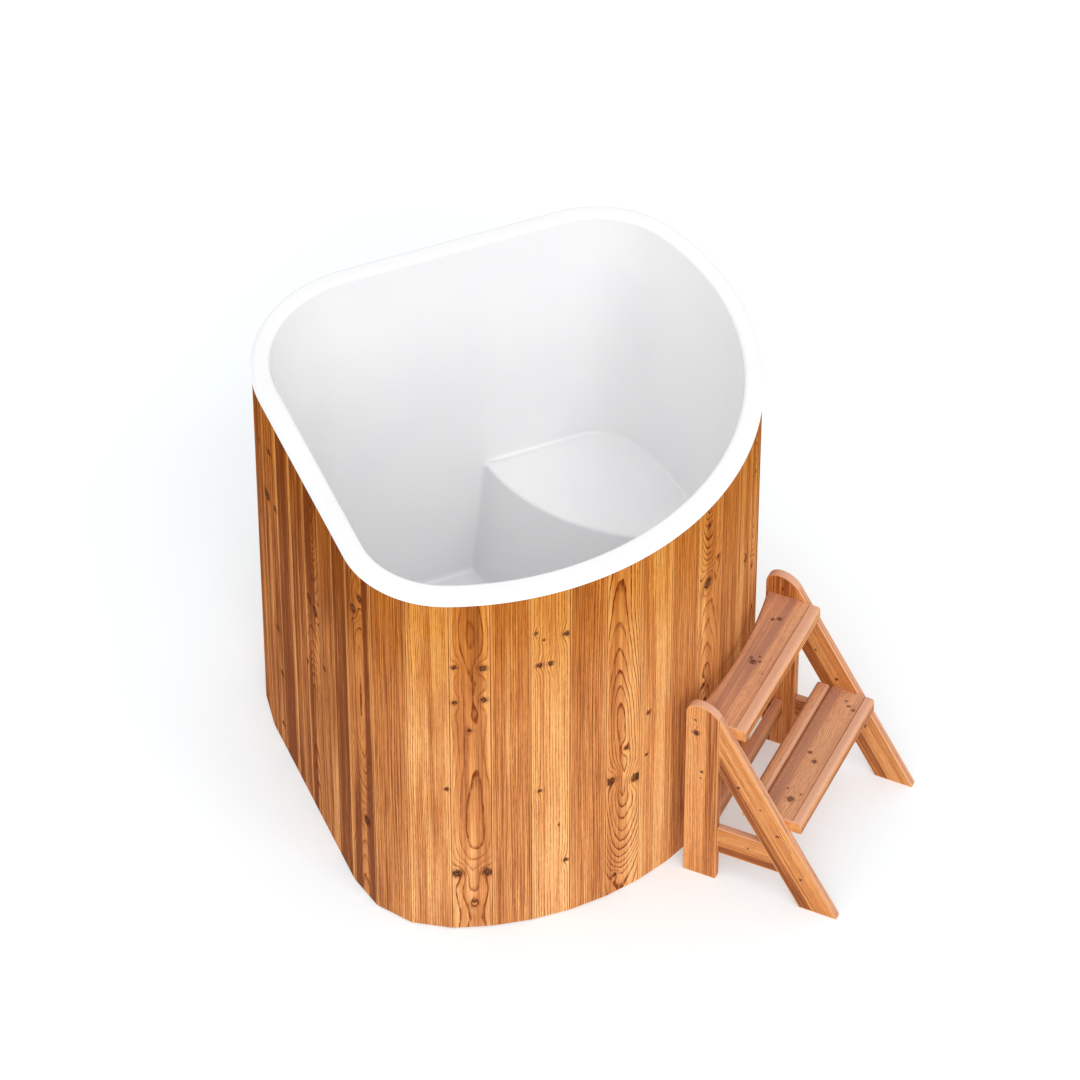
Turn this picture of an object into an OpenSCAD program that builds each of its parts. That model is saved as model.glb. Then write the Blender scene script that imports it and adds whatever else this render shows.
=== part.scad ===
// Corner tub: a moulded basin with a seat, in a carcass of upright boards, and its two-tread step.
// Millimetres, +Z up. The origin is on the floor, under the centre of the curved front.
// +X points from the room's corner to the curved front, along the line that halves the corner.
// Plan shapes are drawn from the room's corner, with one wall along x and the other along y.

/* [Tub] */
// Length of the tub along each wall
tub_w = 1100; // [1060:5:1140]
// Height of the rim's top above the floor
tub_h = 1058; // [980:1:1120]
// Plan radius at the room's corner
corner_r = 312; // [280:1:330]
// Plan radius of the two bends at the ends of the front
bend_r = 237; // [225:1:250]
// Plan radius of the curved front
front_r = 696; // [680:1:715]

/* [Cladding] */
// Thickness of a board
board_t = 20; // [16:1:22]
// Space between the boards and the floor
board_foot = 4; // [2:1:12]
// Open joint between two boards
board_gap = 0.6; // [0.4:0.1:1.2]
// Bevel on the outer edges of a board
board_bevel = 2; // [1:0.5:3]
// Thickness of the tongue on a board's edge
tongue_t = 5; // [4:0.5:7]
// Length of the tongue
tongue_l = 6; // [4:0.5:8]
// Number of boards round the front
front_count = 18; // [16:1:19]
// Number of boards round each bend
bend_count = 3; // [3:1:4]
// Number of boards along each wall
wall_count = 6; // [5:1:7]
// Number of boards round the corner
corner_count = 5; // [4:1:6]

/* [Basin] */
// Width of the rim, from the cladding's face to the basin's wall
rim_w = 41; // [39:1:46]
// Height of the rim above the boards
rim_h = 29; // [24:1:36]
// Overhang of the rim past the cladding
rim_lip = 2.5; // [1:0.5:4]
// Radius on the rim's outer edge
rim_outer_r = 13; // [8:1:16]
// Radius on the rim's inner edge
rim_inner_r = 10; // [6:1:12]
// Thickness of the basin's wall
basin_t = 6; // [5:0.5:7]
// Slope of the basin's walls from the vertical, in degrees
draft = 6; // [4.5:0.1:6.5]
// Height of the basin's floor
floor_z = 134; // [132:1:150]
// Radius where the floor meets the walls
floor_r = 18; // [12:1:30]
// Height of the seat
seat_z = 437; // [400:1:470]
// Rise of the seat from its front edge to its back
seat_rise = 5; // [3:1:8]
// Radius of the seat's front edge in plan
seat_r = 480; // [460:1:500]
// Slope of the seat's front wall from the vertical, in degrees
seat_draft = 9.6; // [8:0.1:10]
// Radius on the seat's front edge
seat_edge_r = 10; // [8:1:16]
// Radius where the seat meets the walls
seat_back_r = 12; // [8:1:24]

/* [Carcass] */
// Thickness of a hoop
hoop_t = 13; // [10:1:13]
// Height of a hoop
hoop_h = 45; // [35:1:50]
// Height of the lower hoop's bottom edge
lower_hoop_z = 20; // [14:1:20]
// Height of the middle hoop's bottom edge
middle_hoop_z = 500; // [300:5:760]
// Height of the runners under the base
runner_h = 45; // [40:1:50]
// Width of a runner
runner_w = 60; // [45:1:80]
// Thickness of the base panel
panel_t = 18; // [15:1:21]
// Width of a batten or post under the basin
batten_w = 45; // [35:1:50]
// Thickness of the rail under the seat
seat_rail_t = 20; // [16:1:28]
// Radius of a cladding screw
screw_r = 2; // [1.5:0.1:2.5]
// Length of a cladding screw
screw_l = 26; // [20:1:28]

/* [Drain] */
// Distance of the waste from the wall that its pipe goes to
waste_x = 560; // [480:5:640]
// Distance of the waste from the other wall
waste_y = 400; // [392:1:412]
// Radius of the waste's flange
waste_flange_r = 42; // [38:1:46]
// Outer radius of the waste's tail
waste_tail_r = 28; // [26:1:30]
// Radius of the waste's opening
waste_bore_r = 22; // [18:1:23]
// Height of the drain pipe's axis
pipe_z = 92; // [92:1:94]
// Outer radius of the drain pipe
pipe_r = 16; // [14:1:16]
// Wall of the drain pipe
pipe_wall = 3; // [2:0.5:4]
// Radius of the valve's body
valve_r = 27; // [26:1:30]
// Radius of the valve's ball
ball_r = 17; // [16:0.5:18]
// Radius of the way through the valve
valve_bore_r = 11; // [9:0.5:12]
// Outer radius of the hose tail
tail_r = 12.5; // [11:0.5:13]
// Length of the hose tail's free end
tail_l = 32; // [25:1:45]
// Length of the lever from the stem
lever_l = 95; // [80:1:120]
// Lift of the plug's knob above the flange
knob_h = 24; // [18:1:30]

/* [Step] */
// Width of the step over its side frames
step_w = 465; // [420:1:520]
// How far the step's back stands in from the middle of the curved front
step_in = 4; // [-60:1:8]
// Sideways place of the step
step_y = -11.7; // [-30:0.1:30]
// Turn of the step from the line that halves the corner, in degrees
step_turn = -1.8; // [-4:0.1:4]
// Thickness of the side frames' boards
frame_t = 20; // [18:1:24]
// Width of a post and of a leg
post_w = 79.5; // [70:0.5:90]
// Distance of the leg's toe from the step's back
toe_x = 376.6; // [350:0.1:400]
// Slope of the leg from the floor, in degrees
leg_a = 60; // [57:0.5:62]
// Distance of the post's crest from its back edge
crest_x = 30; // [24:1:36]
// Thickness of a tread
tread_t = 33; // [27:1:36]
// Height of the top tread
top_tread_z = 486; // [470:1:490]
// Distance of the top tread's nose from the step's back
top_nose_x = 134.6; // [125:0.1:150]
// Plan radius of the hollow in the top tread's back edge
hollow_r = 1150; // [900:10:1500]
// Least distance of the top tread's back edge from the step's back
hollow_x = 23; // [18:1:30]
// Height of the lower tread
low_tread_z = 248.6; // [240:0.1:256]
// Distance of the lower tread's nose from the step's back
low_nose_x = 274.6; // [265:0.1:290]
// Depth of the lower tread
low_tread_d = 109; // [95:1:115]
// Depth of the batten behind the lower tread
tread_batten_d = 33; // [27:1:36]
// Radius on a tread's nose
nose_r = 11; // [6:1:13]
// Height of a side rail's bottom edge
side_rail_z = 87; // [70:1:100]
// How far a side rail stands back from the frame's face
side_rail_in = 3; // [1:0.5:5]
// Height of the rear rail's bottom edge
rear_rail_z = 106; // [80:1:130]
// Height of the rear rail
rear_rail_h = 43; // [35:1:60]
// Distance of the rear rail from the step's back
rear_rail_x = 31; // [24:1:40]
// Radius of a dowel
dowel_r = 4; // [3:0.5:5]
// Length of a dowel
dowel_l = 28; // [22:1:32]
// Distance of the batten's outer dowels from its middle
batten_dowel_y = 140; // [100:1:170]

/* [Hidden] */
$fn = 96;

// Clearances
fit = 0.3;           // between pieces that lie beside each other
glue = 0.1;          // round a dowel and at the ends of a glued board
run = 0.1;           // round the valve's stem
eps = 1;             // how far a cut runs past the face it opens

// Plan outline of the tub
front_c = tub_w - front_r;
bend_x = front_c + sqrt(pow(front_r - bend_r, 2) - pow(front_c - bend_r, 2));
bend_a = atan2(bend_r - front_c, bend_x - front_c);

// Place of the step, from the centre of the curved front
step_x = front_r - step_in;

// Heights
boards_z = tub_h - rim_h;
board_l = boards_z - board_foot;
rim_z = boards_z + fit;
panel_z = runner_h;
carcass_z = panel_z + panel_t;
basin_under = floor_z - basin_t;

// Insets from the cladding's face
hoop_in = board_t + fit;
panel_in = hoop_in + hoop_t + fit;

// Places of the pieces under the basin, from the room's corner
runner_rows = [
    [144, 140, 960],
    [front_c, 60, 1030],
    [664, 60, 960],
    [900, 100, 800]
];
batten_rows = [[250, 240, 800], [330, 240, 830], [490, 240, 830]];
seat_post_places = [[270, 790], [390, 900]];

// Centre of the seat's front edge, and a point in the middle of the foot well
seat_c = [48.5, 1085];
well_c = [640, 420];
seat_soft = 0.004;
seat_blend = 0.12;

// The basin's mesh: points on each stretch of a ring, and which ones of the wall's and the front's
// lie where the seat's front runs out
ring_counts = [8, 7, 7, 22];
wall_end_at = 4;
front_end_at = 17;

function arc_pts(c, r, a0, a1, n) =
    [for (i = [0 : n - 1]) let (a = a0 + (a1 - a0) * i / n) c + r * [cos(a), sin(a)]];
function line_pts(p, q, n) = [for (i = [0 : n - 1]) p + (q - p) * i / n];

// Points round the tub, a given distance in from the cladding's face, counter-clockwise from
// the end of the corner's arc, with [corner, wall, bend, front] stretches cut into so many parts
function outline(inset, counts) = concat(
    line_pts([corner_r, inset], [bend_x, inset], counts[1]),
    arc_pts([bend_x, bend_r], bend_r - inset, -90, bend_a, counts[2]),
    arc_pts([front_c, front_c], front_r - inset, bend_a, 90 - bend_a, counts[3]),
    arc_pts([bend_r, bend_x], bend_r - inset, 90 - bend_a, 180, counts[2]),
    line_pts([inset, bend_x], [inset, corner_r], counts[1]),
    arc_pts([corner_r, corner_r], corner_r - inset, 180, 270, counts[0])
);

// Seams between the boards
board_counts = [corner_count, wall_count, bend_count, front_count];
seams = outline(0, board_counts);
board_total = len(seams);

function unit(v) = v / norm(v);
function along(i) = unit(seams[(i + 1) % board_total] - seams[i]);
function inward(i) = [-along(i)[1], along(i)[0]];
function before(i) = (i + board_total - 1) % board_total;
// Half of the turn between two boards at seam i, in degrees
function half_turn(i) = acos(min(1, along(before(i)) * along(i))) / 2;
// Seam i carried in by a distance, so that the boards keep their thickness
function seam_in(i, depth) =
    let (a = inward(before(i)), b = inward(i)) seams[i] + depth * (a + b) / (1 + a * b);
function seam_ring(depth) = [for (i = [0 : board_total - 1]) seam_in(i, depth)];

// Puts a plan drawn from the room's corner into the tub's own frame
module from_corner() {
    rotate([0, 0, -45])
        translate([-front_c, -front_c, 0])
            children();
}

// Puts a plan drawn on board i, with x along the board and y into the tub, in its place
module on_board(i) {
    translate([seams[i][0], seams[i][1], 0])
        rotate([0, 0, atan2(along(i)[1], along(i)[0])])
            children();
}

function board_w(i) = norm(seams[(i + 1) % board_total] - seams[i]);

// Section of a board: mitred ends, a groove at the start and a tongue at the end
module board_section(i) {
    m0 = half_turn(i);
    m1 = half_turn((i + 1) % board_total);
    w = board_w(i);
    half = board_gap / 2;
    e0 = [sin(m0), cos(m0)];
    n0 = [cos(m0), -sin(m0)];
    e1 = [-sin(m1), cos(m1)];
    n1 = [cos(m1), sin(m1)];
    start = [half / cos(m0), 0];
    end = [w - half / cos(m1), 0];
    l0 = board_t / cos(m0);
    l1 = board_t / cos(m1);
    groove = tongue_t / 2 + fit;
    groove_l = tongue_l + fit;
    polygon([
        start + [board_bevel, 0],
        end - [board_bevel, 0],
        end + e1 * board_bevel,
        end + e1 * (l1 - tongue_t) / 2,
        end + e1 * (l1 - tongue_t) / 2 + n1 * tongue_l,
        end + e1 * (l1 + tongue_t) / 2 + n1 * tongue_l,
        end + e1 * (l1 + tongue_t) / 2,
        end + e1 * l1,
        start + e0 * l0,
        start + e0 * (l0 / 2 + groove),
        start + e0 * (l0 / 2 + groove) + n0 * groove_l,
        start + e0 * (l0 / 2 - groove) + n0 * groove_l,
        start + e0 * (l0 / 2 - groove),
        start + e0 * board_bevel
    ]);
}

hoop_levels = [
    lower_hoop_z + hoop_h / 2,
    middle_hoop_z + hoop_h / 2,
    boards_z - hoop_h / 2
];

// A screw from inside the hoop into the board, or the hole for it
module screw_line(r, head_r, head_l) {
    rotate([90, 0, 0]) {
        translate([0, 0, -hoop_in - hoop_t])
            cylinder(r = r, h = screw_l, $fn = 24);
        translate([0, 0, -hoop_in - hoop_t - head_l])
            cylinder(r = head_r, h = head_l, $fn = 24);
    }
}

module board_screws(i, r, head_r, head_l) {
    for (z = hoop_levels)
        translate([board_w(i) / 2, 0, z])
            screw_line(r, head_r, head_l);
}

module board(i) {
    color("peru")
        from_corner()
            on_board(i)
                difference() {
                    translate([0, 0, board_foot])
                        linear_extrude(board_l)
                            board_section(i);
                    board_screws(i, screw_r + glue, screw_r + glue, eps);
                }
}

// Where each stretch of boards starts
left_bend_start = wall_count;
front_start = left_bend_start + bend_count;
right_bend_start = front_start + front_count;
right_wall_start = right_bend_start + bend_count;
corner_start = right_wall_start + wall_count;

module board_run(first, count) {
    for (i = [first : first + count - 1])
        board(i);
}

// The board that the drain pipe passes, and the way through it
module pipe_line(r, x0, x1) {
    translate([x0, waste_y, pipe_z])
        rotate([0, 90, 0])
            cylinder(r = r, h = x1 - x0);
}

grommet_r = pipe_r + fit + 4;

module left_wall_boards() {
    board_run(0, wall_count);
}
module right_bend_boards() {
    board_run(right_bend_start, bend_count);
}
module right_wall_boards() {
    color("peru")
        difference() {
            board_run(right_wall_start, wall_count);
            from_corner()
                pipe_line(grommet_r + fit, -eps, board_t + eps);
        }
}
module corner_boards() {
    board_run(corner_start, corner_count);
}

// A hoop of strips that follows the inside of the boards
module hoop(z) {
    color("burlywood")
        from_corner()
            difference() {
                translate([0, 0, z])
                    linear_extrude(hoop_h)
                        difference() {
                            polygon(seam_ring(hoop_in));
                            polygon(seam_ring(hoop_in + hoop_t));
                        }
                for (i = [0 : board_total - 1])
                    on_board(i)
                        board_screws(i, screw_r + glue, screw_r + glue, eps);
            }
}
module lower_hoop() {
    hoop(lower_hoop_z);
}
module middle_hoop() {
    hoop(middle_hoop_z);
}
module top_hoop() {
    hoop(boards_z - hoop_h);
}

screw_head_r = screw_r * 2;
screw_head_l = screw_r;

module cladding_screws() {
    color("silver")
        from_corner()
            for (i = [0 : board_total - 1])
                on_board(i)
                    board_screws(i, screw_r, screw_head_r, screw_head_l);
}

// Under the basin

module base_panel() {
    color("tan")
        from_corner()
            translate([0, 0, panel_z])
                linear_extrude(panel_t)
                    polygon(seam_ring(panel_in + screw_head_l));
}

// Bars along x, each as [middle of the bar in y, start, end], kept inside the hoops
module bars(rows, w, z, h) {
    intersection() {
        translate([0, 0, z])
            linear_extrude(h)
                polygon(seam_ring(panel_in + screw_head_l + eps));
        for (row = rows)
            translate([row[1], row[0] - w / 2, z])
                cube([row[2] - row[1], w, h]);
    }
}

module base_runners() {
    color("tan")
        from_corner()
            bars(runner_rows, runner_w, 0, runner_h);
}
module floor_battens() {
    color("tan")
        from_corner()
            bars(batten_rows, batten_w, carcass_z, basin_under - fit - carcass_z);
}

seat_rail_z = seat_z - basin_t - fit - seat_rail_t;
seat_rail_a = atan2(
    seat_post_places[1][1] - seat_post_places[0][1],
    seat_post_places[1][0] - seat_post_places[0][0]
);
seat_span = norm(seat_post_places[1] - seat_post_places[0]);

module on_seat_line() {
    from_corner()
        translate([seat_post_places[0][0], seat_post_places[0][1], 0])
            rotate([0, 0, seat_rail_a])
                children();
}
module seat_posts() {
    color("tan")
        on_seat_line()
            for (x = [0, seat_span])
                translate([x - batten_w / 2, -batten_w / 2, carcass_z])
                    cube([batten_w, batten_w, seat_rail_z - carcass_z]);
}
module seat_rail() {
    color("tan")
        on_seat_line()
            translate([-batten_w / 2, -batten_w / 2, seat_rail_z])
                cube([seat_span + batten_w, batten_w, seat_rail_t]);
}

// The basin: one shell lofted through rings, which share their points

function wall_in(z) = rim_w + (tub_h - z) * tan(draft);
function seat_wall_r(z) = seat_r + (seat_z - z) * tan(seat_draft);

// How far from the well's centre to p the seat's front wall stands, as a share of the way
function seat_share(p, r) =
    let (
        d = p - well_c,
        m = well_c - seat_c,
        a = d * d,
        b = 2 * (d * m),
        c = m * m - r * r,
        q = b * b - 4 * a * c
    )
    q <= 0 || b >= 0 ? 9 : min(9, (-b - sqrt(q)) / (2 * a));
function soft_min(a, b, s) = -s * ln(exp(-a / s) + exp(-b / s));
function share(p, r) = soft_min(1, seat_share(p, r), seat_soft);
// 1 where the seat lies, 0 where the wall runs down to the floor
function seated(p) = max(0, min(1, (1 - share(p, seat_r)) / seat_blend));

// Where a seat's front of radius r runs out: along the wall, and as an angle on the curved front
function wall_end(inset, r) = seat_c[1] - sqrt(r * r - (inset - seat_c[0]) * (inset - seat_c[0]));
function front_end(inset, r) =
    let (out = front_r - inset, m = seat_c - [front_c, front_c], d = norm(m))
    atan2(m[1], m[0]) - acos((out * out + d * d - r * r) / (2 * out * d));

// n numbers from a towards c, of which number k is b
function stations(a, b, c, k, n) =
    [for (i = [0 : n - 1]) i < k ? a + (b - a) * i / k : b + (c - b) * (i - k) / (n - k)];

// The outline of a ring, with a point at each end of the seat's front
function ring_line(inset, r) =
    let (
        line = outline(inset, ring_counts),
        front_at = ring_counts[1] + ring_counts[2],
        wall_at = len(line) - ring_counts[0] - ring_counts[1],
        turns = stations(bend_a, front_end(inset, r), 90 - bend_a, front_end_at, ring_counts[3]),
        ways = stations(bend_x, wall_end(inset, r), corner_r, wall_end_at, ring_counts[1])
    )
    [for (i = [0 : len(line) - 1])
        i >= front_at && i < front_at + ring_counts[3]
            ? let (a = turns[i - front_at])
                [front_c, front_c] + (front_r - inset) * [cos(a), sin(a)]
            : i >= wall_at && i < wall_at + ring_counts[1] ? [inset, ways[i - wall_at]]
            : line[i]];

// A ring of the foot well, and a ring partly drawn back from the seat's front to the wall
function well_ring(inset, r, z, back = 0) =
    [for (p = ring_line(inset, r))
        let (q = well_c + (p - well_c) * share(p, r), v = q + (p - q) * back) [v[0], v[1], z]];
// A ring of the wall, where the round above the seat pushes in only over the seat
function wall_ring(push, z, t) =
    let (
        line = ring_line(wall_in(z) - t, seat_r),
        inner = ring_line(wall_in(z) - t + 1, seat_r)
    )
    [for (k = [0 : len(line) - 1])
        let (v = line[k] + (inner[k] - line[k]) * (push + t) * seated(line[k]))
        [v[0], v[1], z]];
function plain_ring(inset, z) = [for (p = ring_line(inset, seat_r)) [p[0], p[1], z]];

// The rings of one face of the shell, from the floor up: t is how far it lies behind the inner face
function shell_rings(t) =
    let (
        fr = floor_r + t,
        wall = wall_in(floor_z + floor_r) + floor_r,
        well = seat_wall_r(floor_z + floor_r) + floor_r,
        er = seat_edge_r - t,
        edge_z = seat_z - seat_edge_r,
        top_z = seat_z - t,
        br = seat_back_r + t,
        back_z = seat_z + seat_rise + seat_back_r
    )
    concat(
        [for (a = [0 : 22.5 : 90])
            well_ring(wall - fr * sin(a), well - fr * sin(a), floor_z + floor_r - fr * cos(a))],
        [for (a = [0 : 30 : 90])
            let (z = edge_z + er * sin(a))
            well_ring(wall_in(z) - t, seat_r - seat_edge_r + er * cos(a), z)],
        [for (f = [0.3, 0.65])
            let (z = top_z + seat_rise * f)
            well_ring(wall_in(z) - t, seat_r - seat_edge_r, z, f)],
        [for (a = [0 : 22.5 : 90])
            wall_ring(seat_back_r - br * sin(a), back_z - br * cos(a), t)]
    );

// The rings over the rim, from the inner edge to the underside
function rim_rings() = concat(
    [for (a = [0 : 30 : 90])
        plain_ring(rim_w - rim_inner_r + rim_inner_r * cos(a), tub_h - rim_inner_r + rim_inner_r * sin(a))],
    [for (a = [90 : -22.5 : 0])
        plain_ring(rim_outer_r - rim_lip - rim_outer_r * cos(a), tub_h - rim_outer_r + rim_outer_r * sin(a))],
    [plain_ring(-rim_lip, rim_z), plain_ring(wall_in(rim_z) - basin_t, rim_z)]
);

function backwards(v) = [for (i = [len(v) - 1 : -1 : 0]) v[i]];

module basin_shell() {
    rings = concat(shell_rings(0), rim_rings(), backwards(shell_rings(basin_t)));
    n = len(rings[0]);
    m = len(rings);
    sides = [for (j = [0 : m - 2]) for (i = [0 : n - 1])
        let (k = (i + 1) % n, a = j * n + i, b = j * n + k, c = a + n, d = b + n)
        each [[a, b, d], [a, d, c]]];
    floor_cap = [for (i = [0 : n - 1]) [m * n, (i + 1) % n, i]];
    under_cap = [for (i = [0 : n - 1]) [m * n + 1, (m - 1) * n + i, (m - 1) * n + (i + 1) % n]];
    middles = [for (z = [floor_z, basin_under]) [well_c[0], well_c[1], z]];
    polyhedron(
        points = concat([for (r = rings) each r], middles),
        faces = concat(floor_cap, sides, under_cap)
    );
}

module at_waste() {
    from_corner()
        translate([waste_x, waste_y, 0])
            children();
}

module basin() {
    color("white")
        difference() {
            from_corner()
                basin_shell();
            at_waste()
                translate([0, 0, basin_under - eps])
                    cylinder(r = waste_tail_r + fit, h = basin_t + 2 * eps);
        }
}

// The waste and its pipe

flange_t = 3;
gasket_t = 3;
nut_h = 11;
cup_wall = 4;
cup_r = waste_tail_r + 8;
cup_top = basin_under - gasket_t - nut_h - fit;
cup_under = pipe_z - pipe_r - 2 * cup_wall;
collar_h = 6;
tail_bottom = cup_top - collar_h - 4;
socket_l = 24;

module ring_at(z, h, r_out, r_in) {
    translate([0, 0, z])
        difference() {
            cylinder(r = r_out, h = h);
            translate([0, 0, -eps])
                cylinder(r = r_in, h = h + 2 * eps);
        }
}

module waste_flange() {
    color("silver")
        at_waste()
            difference() {
                union() {
                    translate([0, 0, floor_z])
                        cylinder(r = waste_flange_r, h = flange_t);
                    translate([0, 0, tail_bottom])
                        cylinder(r = waste_tail_r, h = floor_z - tail_bottom + flange_t / 2);
                }
                translate([0, 0, tail_bottom - eps])
                    cylinder(r = waste_bore_r, h = floor_z - tail_bottom + flange_t + 2 * eps);
            }
}
module waste_gasket() {
    color("dimgray")
        at_waste()
            ring_at(basin_under - gasket_t, gasket_t, waste_flange_r, waste_tail_r + fit);
}
module waste_nut() {
    color("whitesmoke")
        at_waste()
            ring_at(basin_under - gasket_t - nut_h, nut_h, waste_flange_r - 2, waste_tail_r + glue);
}
module waste_cup() {
    color("whitesmoke")
        at_waste()
            difference() {
                union() {
                    translate([0, 0, cup_under])
                        cylinder(r = cup_r, h = cup_top - cup_under);
                    translate([-cup_r - socket_l, 0, pipe_z])
                        rotate([0, 90, 0])
                            cylinder(r = pipe_r + cup_wall, h = cup_r + socket_l);
                }
                translate([0, 0, cup_under + cup_wall])
                    cylinder(r = cup_r - cup_wall, h = cup_top - collar_h - cup_under - cup_wall);
                translate([0, 0, cup_top - collar_h - eps])
                    cylinder(r = waste_tail_r + glue, h = collar_h + 2 * eps);
                translate([-cup_r - socket_l - eps, 0, pipe_z])
                    rotate([0, 90, 0])
                        cylinder(r = pipe_r + glue, h = socket_l + eps);
                translate([-cup_r - eps, 0, pipe_z])
                    rotate([0, 90, 0])
                        cylinder(r = pipe_r - pipe_wall, h = cup_r);
            }
}

plug_wall = 4;

module drain_plug() {
    color("silver")
        at_waste()
            union() {
                translate([0, 0, floor_z + flange_t + fit])
                    cylinder(r = waste_bore_r + plug_wall, h = plug_wall);
                translate([0, 0, floor_z - plug_wall])
                    cylinder(r = waste_bore_r - fit, h = flange_t + 2 * plug_wall);
                translate([0, 0, floor_z + flange_t + plug_wall])
                    cylinder(r = plug_wall, h = knob_h - plug_wall);
                translate([0, 0, floor_z + flange_t + knob_h])
                    sphere(r = 2 * plug_wall);
            }
}

// Places along the drain pipe, measured from the cladding's face and out of the tub
grommet_t = 3;
valve_l = 58;
valve_x = -grommet_t - fit - valve_l;
valve_mid = valve_x + valve_l / 2;
valve_seat_x = ball_r - 1;
pipe_end = valve_mid + valve_seat_x + fit;

module drain_pipe() {
    color("whitesmoke")
        from_corner()
            difference() {
                pipe_line(pipe_r, pipe_end, waste_x - cup_r);
                pipe_line(pipe_r - pipe_wall, pipe_end - eps, waste_x - cup_r + eps);
            }
}
module wall_grommet() {
    color("dimgray")
        from_corner()
            difference() {
                union() {
                    pipe_line(grommet_r + 8, -grommet_t, 0);
                    pipe_line(grommet_r, -grommet_t / 2, board_t);
                }
                pipe_line(pipe_r + fit, -grommet_t - eps, board_t + eps);
            }
}

spigot_r = tail_r + 2;
seat_l = 4;
stem_r = 5;
stem_top = pipe_z + valve_r + 20;
bonnet_top = pipe_z + valve_r + 8;

module at_valve() {
    from_corner()
        translate([valve_mid, waste_y, 0])
            children();
}
module valve_body() {
    color("silver")
        difference() {
            union() {
                from_corner()
                    pipe_line(valve_r, valve_x, valve_x + valve_l);
                at_valve()
                    translate([0, 0, pipe_z])
                        cylinder(r = 2 * stem_r, h = bonnet_top - pipe_z);
            }
            from_corner() {
                pipe_line(pipe_r + glue, valve_mid, valve_x + valve_l + eps);
                pipe_line(spigot_r + glue, valve_x - eps, valve_mid);
                pipe_line(ball_r + fit, valve_mid - valve_seat_x, valve_mid + valve_seat_x);
            }
            at_valve()
                translate([0, 0, pipe_z])
                    cylinder(r = stem_r + run, h = bonnet_top - pipe_z + eps);
        }
}
module valve_seats() {
    inner = valve_seat_x - seat_l;
    lip = sqrt(pow(ball_r + fit, 2) - pow(valve_bore_r, 2));
    mouth = sqrt(pow(ball_r + fit, 2) - pow(inner, 2));
    color("white")
        at_valve()
            for (side = [-1, 1])
                translate([0, 0, pipe_z])
                    rotate([0, side * 90, 0])
                        rotate_extrude()
                            polygon([
                                [valve_bore_r, lip],
                                [mouth, inner],
                                [ball_r, inner],
                                [ball_r, valve_seat_x],
                                [valve_bore_r, valve_seat_x]
                            ]);
}
module valve_ball() {
    color("silver")
        at_valve()
            translate([0, 0, pipe_z])
                difference() {
                    sphere(r = ball_r);
                    rotate([90, 0, 0])
                        cylinder(r = valve_bore_r, h = 2 * ball_r + eps, center = true);
                    translate([0, 0, ball_r - 3])
                        cylinder(r = stem_r + glue, h = ball_r);
                }
}
module valve_stem() {
    color("silver")
        at_valve()
            translate([0, 0, pipe_z + ball_r - 3])
                cylinder(r = stem_r, h = stem_top - pipe_z - ball_r + 3);
}

lever_t = 4;
lever_w = 16;
lever_z = bonnet_top + 2;
lever_nut_h = 6;

module valve_lever() {
    color("firebrick")
        at_valve()
            translate([0, 0, lever_z])
                difference() {
                    union() {
                        cylinder(r = lever_w * 0.7, h = lever_t);
                        translate([-lever_w / 2, 0, 0])
                            cube([lever_w, lever_l - lever_w / 2, lever_t]);
                        translate([0, lever_l - lever_w / 2, 0])
                            cylinder(r = lever_w / 2, h = lever_t);
                    }
                    translate([0, 0, -eps])
                        cylinder(r = stem_r + glue, h = lever_t + 2 * eps);
                }
}
module lever_nut() {
    color("silver")
        at_valve()
            ring_at(lever_z + lever_t, lever_nut_h, 1.8 * stem_r, stem_r + glue);
}

tail_end = valve_x - tail_l;

module hose_tail() {
    color("silver")
        from_corner()
            difference() {
                union() {
                    pipe_line(tail_r, tail_end, valve_x + eps);
                    pipe_line(spigot_r, valve_x, valve_mid - valve_seat_x - fit);
                }
                pipe_line(tail_r - pipe_wall, tail_end - eps, valve_mid);
            }
}

// The step, drawn with x forward from its back, y across and z up

module step_place() {
    rotate([0, 0, step_turn])
        translate([step_x, step_y, 0])
            children();
}

// A profile drawn in x and z, given a thickness from y0 on
module upright(y0, t) {
    translate([0, y0 + t, 0])
        rotate([90, 0, 0])
            linear_extrude(t)
                children();
}

heel_x = toe_x - post_w / sin(leg_a);
joint_top = (toe_x - post_w) * tan(leg_a);
joint_low = (heel_x - post_w) * tan(leg_a);
crest_r = (post_w - crest_x) / sin(leg_a);
crest_z = joint_top - crest_r * cos(leg_a);
side_rail_h = post_w;
inner_y = step_w / 2 - frame_t;
side_rail_t = frame_t - side_rail_in;
function leg_back(z) = heel_x - z / tan(leg_a);

module post_profile() {
    back_r = crest_x;
    union() {
        square([post_w, crest_z]);
        square([crest_x, crest_z + crest_r - back_r]);
        intersection() {
            translate([crest_x, crest_z])
                circle(r = crest_r);
            translate([crest_x, crest_z - 1])
                square([post_w - crest_x, crest_r + 2]);
        }
        intersection() {
            translate([crest_x, crest_z + crest_r - back_r])
                circle(r = back_r);
            translate([0, crest_z])
                square([crest_x, crest_r + 2]);
        }
    }
}
module leg_profile() {
    polygon([
        [post_w + glue, joint_low],
        [heel_x, 0],
        [toe_x, 0],
        [post_w + glue, joint_top]
    ]);
}
module side_rail_profile() {
    top = side_rail_z + side_rail_h;
    polygon([
        [post_w + glue, side_rail_z],
        [leg_back(side_rail_z) - glue, side_rail_z],
        [leg_back(top) - glue, top],
        [post_w + glue, top]
    ]);
}

// A dowel along x or along y, given by its middle
module dowel_x(p, r, l) {
    translate([p[0] - l / 2, p[1], p[2]])
        rotate([0, 90, 0])
            cylinder(r = r, h = l, $fn = 24);
}
module dowel_y(p, r, l) {
    translate([p[0], p[1] + l / 2, p[2]])
        rotate([90, 0, 0])
            cylinder(r = r, h = l, $fn = 24);
}

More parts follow.
